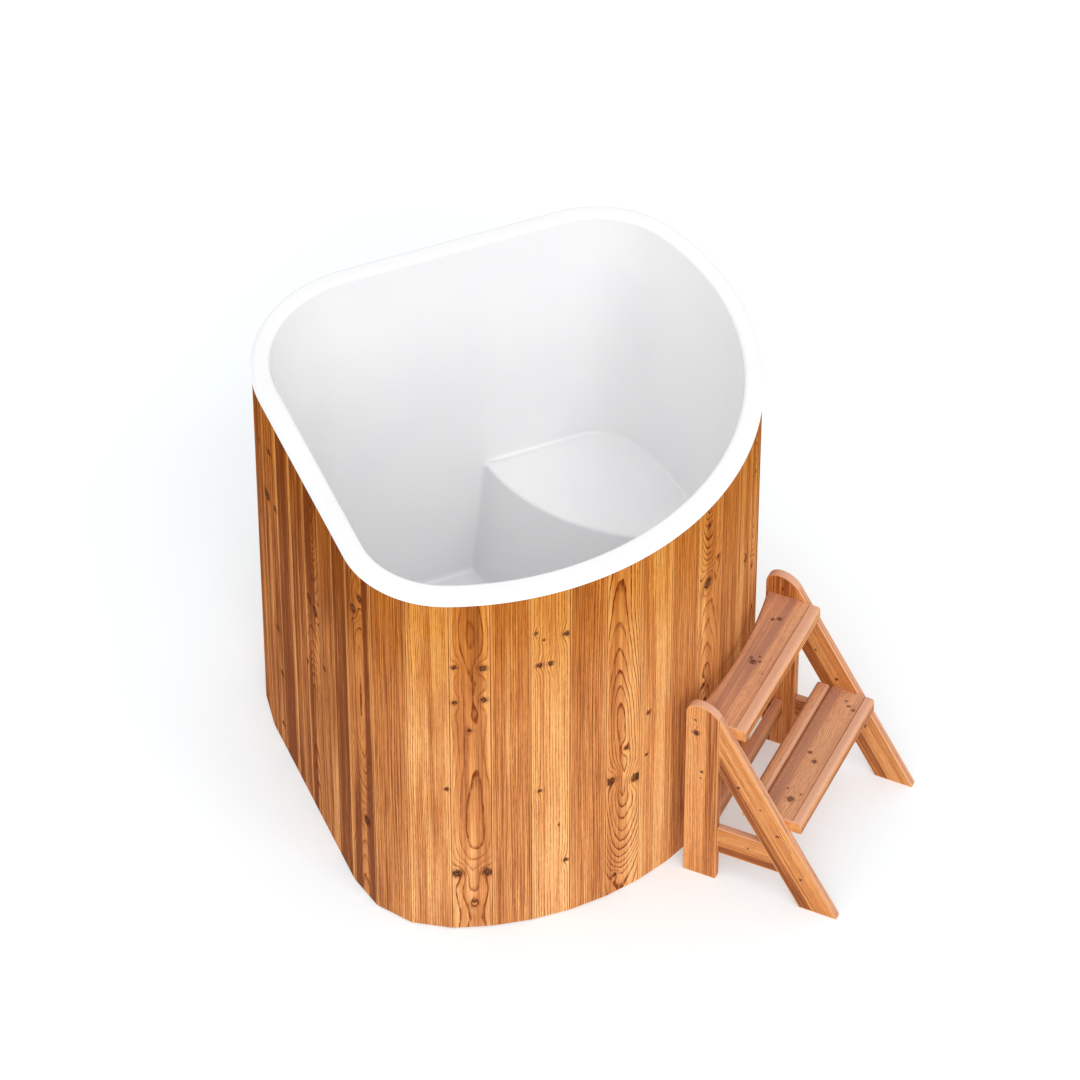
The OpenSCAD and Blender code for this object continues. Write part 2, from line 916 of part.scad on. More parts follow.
// Every dowel of the step, or the holes for them when they are drawn larger
module dowels(r, l) {
    side_y = step_w / 2 - frame_t / 2;
    rail_y = inner_y + side_rail_t / 2;
    shift = dowel_l / 2 - frame_t * 0.6;
    for (s = [-1, 1]) {
        for (z = [joint_low + 45, joint_top - 45])
            dowel_x([post_w, s * side_y, z], r, l);
        for (z = [side_rail_z + 20, side_rail_z + side_rail_h - 20]) {
            dowel_x([post_w, s * rail_y, z], r, l);
            dowel_x([leg_back(z), s * rail_y, z], r, l);
        }
        for (x = [post_w * 0.45, post_w * 0.8])
            dowel_y([x, s * (inner_y - shift), top_tread_z - tread_t / 2], r, l);
        for (x = [low_nose_x - 85, low_nose_x - 52])
            dowel_y([x, s * (inner_y - shift), low_tread_z - tread_t / 2], r, l);
        dowel_y([rear_rail_x + frame_t / 2, s * (inner_y - shift), rear_rail_z + rear_rail_h / 2], r, l);
    }
    for (y = [-batten_dowel_y, 0, batten_dowel_y])
        dowel_x([low_nose_x - low_tread_d, y, low_tread_z - tread_t / 2], r, l);
}
module drilled() {
    difference() {
        children();
        dowels(dowel_r + glue, dowel_l + 2 * glue);
    }
}

module step_post(s) {
    color("peru")
        step_place()
            drilled()
                upright(s < 0 ? -step_w / 2 : inner_y, frame_t)
                    post_profile();
}
module step_leg(s) {
    color("peru")
        step_place()
            drilled()
                upright(s < 0 ? -step_w / 2 : inner_y, frame_t)
                    leg_profile();
}
module step_side_rail(s) {
    color("peru")
        step_place()
            drilled()
                upright(s < 0 ? -inner_y - side_rail_t : inner_y, side_rail_t)
                    side_rail_profile();
}
module step_post_left() {
    step_post(-1);
}
module step_post_right() {
    step_post(1);
}
module step_leg_left() {
    step_leg(-1);
}
module step_leg_right() {
    step_leg(1);
}
module step_side_rail_left() {
    step_side_rail(-1);
}
module step_side_rail_right() {
    step_side_rail(1);
}

tread_w = 2 * (inner_y - glue);

module step_rear_rail() {
    color("peru")
        step_place()
            drilled()
                translate([rear_rail_x, -tread_w / 2, rear_rail_z])
                    cube([frame_t, tread_w, rear_rail_h]);
}

// A board across the step, with rounded edges at the front and the back of its top
module tread_bar(x0, x1, z) {
    upright(-tread_w / 2, tread_w)
        union() {
            translate([x0, z - tread_t])
                square([x1 - x0, tread_t - nose_r]);
            translate([x0 + nose_r, z - nose_r])
                square([x1 - x0 - 2 * nose_r, nose_r]);
            translate([x0 + nose_r, z - nose_r])
                circle(r = nose_r);
            translate([x1 - nose_r, z - nose_r])
                circle(r = nose_r);
        }
}
module top_tread() {
    color("peru")
        step_place()
            drilled()
                difference() {
                    tread_bar(-nose_r, top_nose_x, top_tread_z);
                    translate([hollow_x - hollow_r, 0, top_tread_z - tread_t - eps])
                        cylinder(r = hollow_r, h = tread_t + 2 * eps, $fn = 360);
                }
}
module lower_tread() {
    color("peru")
        step_place()
            drilled()
                tread_bar(low_nose_x - low_tread_d, low_nose_x, low_tread_z);
}
module tread_batten() {
    back = low_nose_x - low_tread_d - glue;
    color("peru")
        step_place()
            drilled()
                tread_bar(back - tread_batten_d, back, low_tread_z);
}
module step_dowels() {
    color("wheat")
        step_place()
            dowels(dowel_r, dowel_l);
}

function numbered(name, i) = str(name, i < 10 ? "0" : "", i);

basin();
top_hoop();
middle_hoop();
lower_hoop();
base_panel();
base_runners();
floor_battens();
seat_posts();
seat_rail();
cladding_screws();
left_wall_boards();
right_bend_boards();
right_wall_boards();
corner_boards();
for (i = [1 : bend_count])
    board(left_bend_start + i - 1);
for (i = [1 : front_count])
    board(front_start + i - 1);
waste_flange();
waste_gasket();
waste_nut();
waste_cup();
drain_plug();
drain_pipe();
wall_grommet();
valve_body();
valve_seats();
valve_ball();
valve_stem();
valve_lever();
lever_nut();
hose_tail();
step_post_left();
step_post_right();
step_leg_left();
step_leg_right();
step_side_rail_left();
step_side_rail_right();
step_rear_rail();
top_tread();
lower_tread();
tread_batten();
step_dowels();
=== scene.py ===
import random
from math import acos, atan2, cos, degrees, exp, log, pi, radians, sin, sqrt, tan

import bmesh
import bpy
from mathutils import Matrix, Vector


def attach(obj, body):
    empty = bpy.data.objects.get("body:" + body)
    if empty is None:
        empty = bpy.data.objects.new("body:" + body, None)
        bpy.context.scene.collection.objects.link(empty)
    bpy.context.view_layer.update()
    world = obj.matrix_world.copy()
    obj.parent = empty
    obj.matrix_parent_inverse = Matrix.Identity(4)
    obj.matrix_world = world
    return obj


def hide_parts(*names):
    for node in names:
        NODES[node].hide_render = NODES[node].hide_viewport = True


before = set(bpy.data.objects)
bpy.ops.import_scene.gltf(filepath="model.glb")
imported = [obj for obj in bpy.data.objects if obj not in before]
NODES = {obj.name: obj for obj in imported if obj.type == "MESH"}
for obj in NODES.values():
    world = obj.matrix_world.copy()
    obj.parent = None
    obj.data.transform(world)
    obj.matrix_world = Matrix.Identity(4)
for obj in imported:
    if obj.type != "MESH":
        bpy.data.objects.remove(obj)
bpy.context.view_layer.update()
MM = 0.001


def in_scene(name, data):
    made = bpy.data.objects.new(name, data)
    bpy.context.scene.collection.objects.link(made)
    return made


# The tub's plan, drawn from the room's corner, in millimetres

TUB_W = 1100
TUB_H = 1058
CORNER_R = 312
BEND_R = 237
FRONT_R = 696
FRONT_C = TUB_W - FRONT_R
BEND_X = FRONT_C + sqrt((FRONT_R - BEND_R) ** 2 - (FRONT_C - BEND_R) ** 2)
BEND_A = degrees(atan2(BEND_R - FRONT_C, BEND_X - FRONT_C))

# Cladding

BOARD_T = 20
BOARD_FOOT = 4
BOARD_GAP = 0.6
BOARD_BEVEL = 2
TONGUE_T = 5
TONGUE_L = 6
RIM_H = 29
BOARDS_Z = TUB_H - RIM_H
FIT = 0.3
CORNER_BOARDS = 5
WALL_BOARDS = 6
BEND_BOARDS = 3
FRONT_BOARDS = 18

# Basin

RIM_W = 41
RIM_LIP = 1.9
RIM_OUTER_R = 13
RIM_INNER_R = 10
BASIN_T = 6
DRAFT = tan(radians(6))
FLOOR_Z = 134
FLOOR_R = 18
SEAT_Z = 437
SEAT_RISE = 5
SEAT_R = 480
SEAT_DRAFT = tan(radians(9.6))
SEAT_EDGE_R = 10
SEAT_BACK_R = 12
SEAT_C = Vector((48.5, 1085))
WELL_C = Vector((640, 420))
SEAT_SOFT = 0.008
SEAT_BLEND = 0.12

# Drain

WASTE = Vector((560, 400))
WASTE_HOLE_R = 28.3
WASTE_FLANGE_R = 42
WASTE_TAIL_R = 28
WASTE_BORE_R = 22
WASTE_TAIL_Z = 103.7
FLANGE_T = 3
KNOB_H = 24
PLUG_WALL = 4
PIPE_R = 16
PIPE_Z = 92
GROMMET_T = 3
GROMMET_R = 20.3
VALVE_R = 27
VALVE_L = 58
VALVE_X = -61.3
VALVE_MID = VALVE_X + VALVE_L / 2
BALL_R = 17
STEM_R = 5
BONNET_TOP = 127
LEVER_Z = 129
LEVER_T = 4
LEVER_W = 16
LEVER_L = 95
LEVER_NUT_H = 6
TAIL_R = 12.5
TAIL_BORE_R = 9.5
SPIGOT_R = 14.5
TAIL_L = 32

# Step

STEP_W = 465
STEP_X = 692
STEP_Y = -11.7
STEP_TURN = radians(-1.8)
FRAME_T = 20
POST_W = 79.5
TOE_X = 376.6
LEG_A = radians(60)
CREST_X = 30
TREAD_T = 33
TOP_TREAD_Z = 486
TOP_NOSE_X = 134.6
HOLLOW_R = 1150
HOLLOW_X = 23
LOW_TREAD_Z = 248.6
LOW_NOSE_X = 274.6
LOW_TREAD_D = 109
TREAD_BATTEN_D = 33
NOSE_R = 11
SIDE_RAIL_Z = 87
SIDE_RAIL_IN = 3
REAR_RAIL_Z = 106
REAR_RAIL_H = 43
REAR_RAIL_X = 31
GLUE = 0.1


def on_floor(turn, x, y):
    return Matrix.Scale(MM, 4) @ Matrix.Rotation(turn, 4, "Z") @ Matrix.Translation((x, y, 0))


FROM_CORNER = on_floor(radians(-45), -FRONT_C, -FRONT_C)
STEP_PLACE = on_floor(STEP_TURN, STEP_X, STEP_Y)

# Camera, at the photograph's angle

CAMERA_TARGET = Vector((0.1796, 0.1009, 0.5141))
CAMERA_DISTANCE = 14.332
CAMERA_AZIMUTH = radians(-67.03)
CAMERA_HEIGHT = radians(44.857)
CAMERA_ROLL = -0.00138
CAMERA_LENS = 211.23
SENSOR = 36


def make_camera():
    data = bpy.data.cameras.new("photo_camera")
    data.sensor_width = SENSOR
    data.lens = CAMERA_LENS
    data.clip_start = 0.1
    data.clip_end = 100
    camera = in_scene("photo_camera", data)
    flat = cos(CAMERA_HEIGHT)
    back = Vector((flat * cos(CAMERA_AZIMUTH), flat * sin(CAMERA_AZIMUTH), sin(CAMERA_HEIGHT)))
    right = Vector((-sin(CAMERA_AZIMUTH), cos(CAMERA_AZIMUTH), 0))
    up = back.cross(right)
    cos_r, sin_r = cos(CAMERA_ROLL), sin(CAMERA_ROLL)
    right, up = cos_r * right + sin_r * up, cos_r * up - sin_r * right
    turn = Matrix((right, up, back)).transposed().to_4x4()
    camera.matrix_world = Matrix.Translation(CAMERA_TARGET + back * CAMERA_DISTANCE) @ turn
    bpy.context.scene.camera = camera


make_camera()


# Shader helpers


class Shader:
    """Adds nodes to one material and links values, which are sockets or constants."""

    def __init__(self, name):
        self.material = bpy.data.materials.new(name)
        self.material.use_nodes = True
        self.tree = self.material.node_tree
        self.tree.nodes.clear()
        self.bsdf = self.node("ShaderNodeBsdfPrincipled")
        output = self.node("ShaderNodeOutputMaterial")
        self.tree.links.new(self.bsdf.outputs[0], output.inputs[0])

    def node(self, kind, **settings):
        made = self.tree.nodes.new(kind)
        for key, value in settings.items():
            setattr(made, key, value)
        return made

    def put(self, socket, value):
        if isinstance(value, bpy.types.NodeSocket):
            self.tree.links.new(value, socket)
        elif isinstance(value, (tuple, list)) and len(value) == 3 and socket.type == "RGBA":
            socket.default_value = (*value, 1)
        else:
            socket.default_value = value

    def result(self, kind, values, output=0, **settings):
        """Adds a node, sets its inputs in order or by name, and gives one output."""
        made = self.node(kind, **settings)
        for key, value in values.items() if isinstance(values, dict) else enumerate(values):
            self.put(made.inputs[key], value)
        return made.outputs[output]

    def math(self, operation, a, b=0.0, clamp=False):
        return self.result("ShaderNodeMath", (a, b), operation=operation, use_clamp=clamp)

    def add(self, a, b):
        return self.math("ADD", a, b)

    def sub(self, a, b):
        return self.math("SUBTRACT", a, b)

    def mul(self, a, b):
        return self.math("MULTIPLY", a, b)

    def swing(self, value, share):
        """Turns a value from 0 to 1 into a swing of share about zero."""
        return self.mul(self.sub(value, 0.5), share)

    def vector(self, operation, a, b):
        return self.result("ShaderNodeVectorMath", (a, b), operation=operation)

    def split(self, value):
        made = self.node("ShaderNodeSeparateXYZ")
        self.put(made.inputs[0], value)
        return made.outputs

    def join(self, x, y, z):
        return self.result("ShaderNodeCombineXYZ", (x, y, z))

    def attribute(self, name):
        return self.node("ShaderNodeAttribute", attribute_name=name).outputs["Vector"]

    def object_place(self):
        return self.node("ShaderNodeTexCoord").outputs["Object"]

    def noise(self, place, scale, detail, roughness):
        values = {"Vector": place, "Scale": scale, "Detail": detail, "Roughness": roughness}
        return self.result("ShaderNodeTexNoise", values, noise_dimensions="3D")

    def grain(self, place, scales, roughness=0.6, detail=2.0):
        """Noise with one scale across the grain, in x and y, and another along it, in z."""
        across, along = scales
        return self.noise(self.vector("MULTIPLY", place, (across, across, along)), 1.0, detail, roughness)

    def wander(self, place, scale):
        """Noise along one line."""
        values = {"W": place, "Scale": scale, "Detail": 1.0}
        return self.result("ShaderNodeTexNoise", values, noise_dimensions="1D")

    def random(self, value):
        return self.result("ShaderNodeTexWhiteNoise", {"W": value}, noise_dimensions="1D")

    def step(self, value, low, high, to_low=0.0, to_high=1.0):
        """A smooth step from to_low to to_high as value goes from low to high."""
        values = (value, low, high, to_low, to_high)
        return self.result("ShaderNodeMapRange", values, interpolation_type="SMOOTHSTEP")

    def mix(self, factor, a, b, blend="MIX"):
        values = {0: factor, 6: a, 7: b}
        return self.result("ShaderNodeMix", values, 2, data_type="RGBA", blend_type=blend)

    def bump(self, height, strength, distance):
        values = {"Height": height, "Strength": strength, "Distance": distance}
        self.set(Normal=self.result("ShaderNodeBump", values))

    def set(self, **values):
        for key, value in values.items():
            self.put(self.bsdf.inputs[key.replace("_", " ")], value)


# Wood: rings round a pith, cut by the plank, that bend round its knots

# Odd shares of a plank's seed, which set its noises apart
APART_UZ = 3.7
APART_D = 1.9
APART_ALONG = 11.3
APART_WANDER = 57.0
APART_RADIUS = 5.0
APART_RING = 13.0

# Scales of the noises, across and along the grain
RAGGED = (260, 200)
RIPPLE = (32, 7)
FLECK = (200, 45)
HAIR = (900, 30)
FIBRE = (330, 4)
STREAK = (170, 1.1)
BROAD = (30, 0.9)
BLOTCH = (16, 6)
PORE = (300, 60)

KNOT_SLOTS = 8
NO_KNOT = (0, -100000, 0)
SMALLEST_KNOT = 0.0001
KNOT_LENGTH = 1.15
KNOT_RAG = 2.0
KNOT_REACH = 0.16
KNOT_TURN = 0.85
KNOT_LIFT = 1.2
PITH_WANDER_U = 0.03
PITH_WANDER_D = 0.12
WANDER_RATE = 1.5
RING_CROWDING = 0.014
CROWDING_RATE = 26.0
BROAD_LATE = 0.30
SHARP_LATE = 0.85
HEART_WANDER = 0.012
HEART_EDGE = 0.0015
# Painted shade in the joints between boards, also used for the dark line behind a tread's strip
JOINT_SHADE_SHARE = 0.80
# Painted sheen on faces that look up, with more of it on their eased edges
SHEEN_SHARE = 0.44
EDGE_SHEEN_SHARE = 0.34
UPRIGHT_PORES = 0.10
HALO_SHARE = 0.40
CORE_SHARE = 0.92
KNOT_UNDER_SHEEN = 0.22
RIND_SHARE = 0.65
DARKEST_KNOT = (0.050, 0.020, 0.012)
RED_KNOT = (0.260, 0.085, 0.030)
# The painted sheen's colour
PAINTED_SHEEN = (0.70, 0.40, 0.28)
# Tints by height: paler at the foot, and painted shade under the rim at the top
PALER_FOOT = (1.05, 1.12, 1.26)
RIM_SHADE = (0.82, 0.70, 0.40)


def knot_fields(s, u, z, ragged):
    """How the knots turn and lift the rings beside them, and their core, halo and dark rind."""
    rag = s.swing(ragged, KNOT_RAG)
    turned = u
    lifted = core = halo = rind = 0.0
    for slot in range(KNOT_SLOTS):
        knot_u, knot_z, knot_r = s.split(s.attribute(f"knot_{slot + 1}"))
        size = s.math("MAXIMUM", knot_r, SMALLEST_KNOT)
        du = s.sub(u, knot_u)
        across = s.math("DIVIDE", du, size)
        along = s.math("DIVIDE", s.sub(z, knot_z), s.mul(size, KNOT_LENGTH))
        across_2 = s.mul(across, across)
        along_2 = s.mul(along, along)
        pull = s.math("EXPONENT", s.mul(s.add(across_2, s.mul(along_2, 0.45)), -KNOT_REACH))
        turned = s.sub(turned, s.mul(s.mul(du, pull), KNOT_TURN))
        lifted = s.add(lifted, s.mul(s.mul(size, pull), KNOT_LIFT))
        away = s.add(s.math("SQRT", s.add(across_2, along_2)), rag)
        wide_away = s.add(s.math("SQRT", s.add(s.mul(across_2, 0.5), along_2)), rag)
        core = s.math("MAXIMUM", core, s.step(away, 1.0, 0.75))
        halo = s.math("MAXIMUM", halo, s.step(wide_away, 2.0, 0.8))
        rind = s.math("MAXIMUM", rind, s.mul(s.step(away, 0.7, 0.95), s.step(away, 1.25, 1.0)))
    return turned, lifted, core, halo, rind


def wood_material(name, light, middle, dark, line, contrast, edge_highlight_share, pores, rim_shade_and_pale_foot, gloss, specular):
    s = Shader(name)
    place = s.attribute("wood_place")
    pith_u, pith_d, seed = s.split(s.attribute("wood_pith"))
    tone, spacing, bands = s.split(s.attribute("wood_tone"))
    ripples, fibres, darkness = s.split(s.attribute("wood_form"))
    heart_u, heart_side, heart_dark = s.split(s.attribute("wood_heart"))
    edge_light = s.node("ShaderNodeAttribute", attribute_name="wood_edge_light").outputs["Fac"]
    u, d, z = s.split(place)
    shift = s.mul(seed, APART_UZ)
    apart = s.vector("ADD", place, s.join(shift, s.mul(seed, APART_D), shift))
    ragged = s.grain(apart, RAGGED)
    turned, lifted, core, halo, rind = knot_fields(s, u, z, ragged)

    # The pith wanders along the plank, which draws arches where it lies close behind the face
    along_z = s.add(z, s.mul(seed, APART_ALONG))
    wander_u = s.mul(s.swing(s.wander(along_z, WANDER_RATE), PITH_WANDER_U), ripples)
    wander_d = s.mul(s.swing(s.wander(s.add(along_z, APART_WANDER), WANDER_RATE), PITH_WANDER_D), ripples)
    from_u = s.sub(turned, s.add(pith_u, wander_u))
    from_d = s.add(d, s.add(pith_d, wander_d))
    radius = s.math("SQRT", s.add(s.mul(from_u, from_u), s.mul(from_d, from_d)))
    crowding = s.wander(s.add(radius, s.mul(seed, APART_RADIUS)), CROWDING_RATE)
    radius = s.add(radius, s.swing(crowding, RING_CROWDING))
    radius = s.add(radius, s.swing(s.grain(apart, RIPPLE, 0.5), s.mul(spacing, ripples)))
    radius = s.add(radius, lifted)

    # Each ring darkens slowly, then sharply, and ends at once
    count = s.math("DIVIDE", radius, spacing)
    ring = s.math("FRACT", count)
    weight = s.random(s.add(s.math("FLOOR", count), s.mul(seed, APART_RING)))
    weight = s.add(s.mul(weight, 0.7), 0.3)
    broad_late = s.mul(s.step(ring, 0.20, 0.95), s.step(ring, 1.0, 0.96))
    sharp_late = s.mul(s.step(ring, 0.66, 0.90), s.step(ring, 1.0, 0.95))
    late = s.mul(s.add(s.mul(broad_late, BROAD_LATE), s.mul(sharp_late, SHARP_LATE)), weight)
    late = s.mul(late, s.step(s.grain(apart, FLECK), 0.3, 0.7, 0.55, 1.35))

    # Fibres, broad bands of tone that run with the grain, and heartwood
    fibre = s.grain(apart, FIBRE)
    broad = s.grain(apart, BROAD, 0.5, 1.0)
    shade = s.add(tone, s.swing(s.step(broad, 0.36, 0.64), bands))
    shade = s.add(shade, s.swing(s.grain(apart, STREAK, 0.5), s.mul(s.sub(fibres, 0.2), 3.0)))
    shade = s.add(shade, s.swing(s.grain(apart, BLOTCH, 0.5), s.mul(bands, 0.8)))
    shade = s.add(shade, s.mul(s.step(fibre, 0.34, 0.66, 0.65, -0.65), fibres))
    past_heart = s.add(s.mul(s.sub(u, heart_u), heart_side), s.swing(broad, HEART_WANDER))
    shade = s.add(shade, s.mul(s.step(past_heart, -HEART_EDGE, HEART_EDGE), heart_dark))
    colour = s.mix(s.step(shade, -0.1, 0.55), light, middle)
    colour = s.mix(s.step(shade, 0.45, 1.1), colour, dark)
    colour = s.mix(s.math("MULTIPLY", late, s.mul(darkness, contrast), clamp=True), colour, line)
    lit = s.step(s.grain(apart, HAIR), 0.3, 0.7, 0.86, 1.12)
    colour = s.mix(1.0, colour, s.join(lit, lit, lit), "MULTIPLY")

    # Upright boards get painted shade under the rim, deepening toward the top, and are paler at the foot
    low_tint = s.mix(s.step(z, 0.06, 0.50), PALER_FOOT, (1, 1, 1))
    tint = s.mix(s.step(z, 0.55, 1.03), low_tint, RIM_SHADE)
    colour = s.mix(rim_shade_and_pale_foot, colour, tint, "MULTIPLY")

    # Painted highlight on eased edges, a painted sheen on faces that look up, and a dark line: painted shade
    # in the joints between boards, and the line behind a tread's strip
    edge_highlight = s.step(edge_light, 0.1, 0.9)
    colour = s.mix(s.mul(edge_highlight, edge_highlight_share), colour, light)
    upward = s.step(s.split(s.node("ShaderNodeNewGeometry").outputs["True Normal"])[2], 0.2, 0.6)
    pore_share = s.add(s.mul(upward, pores), UPRIGHT_PORES)
    colour = s.mix(s.mul(s.step(s.grain(apart, PORE), 0.52, 0.72), pore_share), colour, line)
    colour = s.mix(s.mul(upward, s.add(s.mul(edge_highlight, EDGE_SHEEN_SHARE), SHEEN_SHARE)), colour, PAINTED_SHEEN)
    colour = s.mix(s.mul(s.step(edge_light, 0.0, -0.7), JOINT_SHADE_SHARE), colour, line)

    # Knots
    colour = s.mix(s.mul(halo, HALO_SHARE), colour, line)
    # Knots show less dark through the painted sheen on faces that look up
    core_share = s.sub(CORE_SHARE, s.mul(upward, KNOT_UNDER_SHEEN))
    core_colour = s.mix(s.step(ragged, 0.46, 0.60), DARKEST_KNOT, RED_KNOT)
    colour = s.mix(s.mul(core, core_share), colour, core_colour)
    colour = s.mix(s.mul(rind, RIND_SHARE), colour, DARKEST_KNOT)
    rough = s.add(s.mul(late, 0.10), s.step(fibre, 0.2, 0.8, gloss, gloss + 0.14))
    s.set(Base_Color=colour, Roughness=rough, Specular_IOR_Level=specular)
    height = s.add(s.mul(late, -0.5), s.mul(fibre, 0.6))
    s.bump(s.sub(height, s.mul(core, 0.4)), 0.4, 0.0004)
    return s.material


CLADDING = wood_material(
    "cladding_wood",
    light=(0.87, 0.430, 0.155), middle=(0.61, 0.225, 0.068),
    dark=(0.225, 0.068, 0.026), line=(0.205, 0.043, 0.011),
    contrast=1.1, edge_highlight_share=0.40, pores=0.0, rim_shade_and_pale_foot=1.0, gloss=0.50, specular=0.0,
)
STEP_WOOD = wood_material(
    "step_wood",
    light=(0.84, 0.38, 0.130), middle=(0.62, 0.222, 0.060),
    dark=(0.270, 0.074, 0.018), line=(0.170, 0.038, 0.009),
    contrast=1.0, edge_highlight_share=0.50, pores=0.55, rim_shade_and_pale_foot=0.0, gloss=0.40, specular=0.15,
)


def bare_wood(name, light, dark, axis):
    """Pale inner timber, whose grain runs along one axis of the frame."""
    s = Shader(name)
    place = s.object_place()
    stretch = [90, 90, 90]
    stretch[axis] = 4
    grain = s.noise(s.vector("MULTIPLY", place, tuple(stretch)), 1.0, 3.0, 0.6)
    stretch[axis] = 20
    fibre = s.noise(s.vector("MULTIPLY", place, tuple(v * 8 for v in stretch)), 1.0, 2.0, 0.5)
    colour = s.mix(s.step(grain, 0.35, 0.65), light, dark)
    colour = s.mix(s.mul(s.step(fibre, 0.45, 0.7), 0.3), colour, dark)
    s.set(Base_Color=colour, Roughness=s.step(grain, 0.2, 0.8, 0.6, 0.75))
    s.bump(fibre, 0.3, 0.0004)
    return s.material


def plain_material(name, colour, metallic, low, high, scale=220.0, bump=0.1):
    """Metal, plastic or rubber with a finely varied roughness and a light unevenness of tone."""
    s = Shader(name)
    place = s.object_place()
    fine = s.noise(place, scale, 3.0, 0.6)
    cloud = s.noise(place, scale * 0.08, 2.0, 0.5)
    duller = tuple(v * 0.9 for v in colour)
    s.set(
        Base_Color=s.mix(s.step(cloud, 0.35, 0.7), colour, duller),
        Roughness=s.step(fine, 0.3, 0.7, low, high),
        Metallic=metallic,
    )
    s.bump(fine, bump, 0.0002)
    return s.material


def brushed_material(name, colour, low, high):
    """Metal with fine turned lines about the vertical."""
    s = Shader(name)
    lines = s.grain(s.object_place(), (400, 6000))
    s.set(Base_Color=colour, Roughness=s.step(lines, 0.3, 0.7, low, high), Metallic=1.0)
    s.bump(lines, 0.15, 0.0001)
    return s.material


def basin_material():
    """White gel coat: glossy, with a faint long ripple and specks of dust."""
    s = Shader("basin_gel_coat")
    place = s.object_place()
    cloud = s.noise(place, 3.0, 2.0, 0.5)
    ripple = s.noise(place, 26.0, 2.0, 0.5)
    speck = s.noise(place, 700.0, 2.0, 0.6)
    s.set(
        Base_Color=s.mix(s.step(cloud, 0.3, 0.7), (0.90, 0.90, 0.905), (0.87, 0.87, 0.88)),
        Roughness=s.add(s.step(cloud, 0.3, 0.7, 0.14, 0.20), s.step(speck, 0.62, 0.8, 0.0, 0.12)),
    )
    s.bump(s.add(ripple, s.mul(speck, 0.03)), 0.25, 0.0006)
    return s.material


GEL_COAT = basin_material()
CARCASS = bare_wood("carcass_timber", (0.62, 0.42, 0.24), (0.50, 0.31, 0.16), 2)
RUNNER_WOOD = bare_wood("runner_timber", (0.55, 0.37, 0.21), (0.42, 0.26, 0.13), 0)
PLYWOOD = bare_wood("base_plywood", (0.56, 0.39, 0.23), (0.45, 0.29, 0.15), 1)
DOWEL_WOOD = bare_wood("dowel_beech", (0.66, 0.46, 0.28), (0.56, 0.36, 0.20), 0)
STEEL = brushed_material("brushed_steel", (0.62, 0.62, 0.63), 0.22, 0.34)
NICKEL = plain_material("nickel_plate", (0.66, 0.63, 0.56), 1.0, 0.26, 0.36)
CHROME = plain_material("polished_chrome", (0.78, 0.78, 0.79), 1.0, 0.05, 0.10)
RUBBER = plain_material("black_rubber", (0.025, 0.025, 0.026), 0.0, 0.55, 0.75, 500.0, 0.3)
PIPE = plain_material("grey_pipe", (0.60, 0.60, 0.58), 0.0, 0.38, 0.50)
SEAT_RING = plain_material("white_seat_ring", (0.86, 0.86, 0.84), 0.0, 0.35, 0.45)
RED_GRIP = plain_material("red_grip", (0.42, 0.022, 0.016), 0.0, 0.30, 0.42, 300.0, 0.2)


# Mesh helpers

TURNED_SHARP = 32


def add_piece(name, mesh, material, body, node):
    """Shows a mesh as a piece that rides on a body and stands for one of the model's nodes."""
    mesh.name = name
    mesh.materials.append(material)
    piece = in_scene(name, mesh)
    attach(piece, body)
    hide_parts(node)


def smooth(mesh, limit):
    """Smooth shading, but for edges sharper than limit, in degrees."""
    for face in mesh.polygons:
        face.use_smooth = True
    mesh.set_sharp_from_angle(angle=radians(limit))


def angles(start, end, step):
    count = round(abs(end - start) / step)
    return [radians(start + (end - start) * i / count) for i in range(count + 1)]


def arc(x, y, r, start, end, step):
    return [(x + r * cos(a), y + r * sin(a)) for a in angles(start, end, step)]


def loft(rings, caps=True):
    """A mesh through closed rings of points, each with as many points."""
    count = len(rings[0])
    verts = [p for ring in rings for p in ring]
    faces = []
    for start in range(0, len(verts) - count, count):
        for i in range(start, start + count):
            k = start + (i + 1 - start) % count
            faces.append((i, k, k + count, i + count))
    if caps:
        faces.append(tuple(reversed(range(count))))
        faces.append(tuple(range(len(verts) - count, len(verts))))
    mesh = bpy.data.meshes.new("loft")
    mesh.from_pydata(verts, [], faces)
    mesh.validate()
    return mesh


def face_out(mesh, weld=0):
    """Turns all faces outward, after points closer than weld are made one."""
    bm = bmesh.new()
    bm.from_mesh(mesh)
    if weld:
        bmesh.ops.remove_doubles(bm, verts=bm.verts, dist=weld)
    bmesh.ops.recalc_face_normals(bm, faces=bm.faces)
    bm.to_mesh(mesh)
    bm.free()


def prism(lower, upper):
    """A form between two outlines with as many points, before it becomes a mesh."""
    bm = bmesh.new()
    near = [bm.verts.new(p) for p in lower]
    far = [bm.verts.new(p) for p in upper]
    for i in range(len(near)):
        k = (i + 1) % len(near)
        bm.faces.new((near[i], near[k], far[k], far[i]))
    bm.faces.new(near[::-1])
    bm.faces.new(far)
    bmesh.ops.recalc_face_normals(bm, faces=bm.faces)
    return bm


def ease(bm, limit, width):
    """Rounds the edges that are sharper than limit, in degrees."""
    sharp = [e for e in bm.edges if e.calc_face_angle(0) > radians(limit)]
    bmesh.ops.bevel(bm, geom=sharp, offset=width, segments=3, profile=0.6, affect="EDGES", clamp_overlap=True)


def as_mesh(bm):
    mesh = bpy.data.meshes.new("form")
    bm.to_mesh(mesh)
    bm.free()
    return mesh


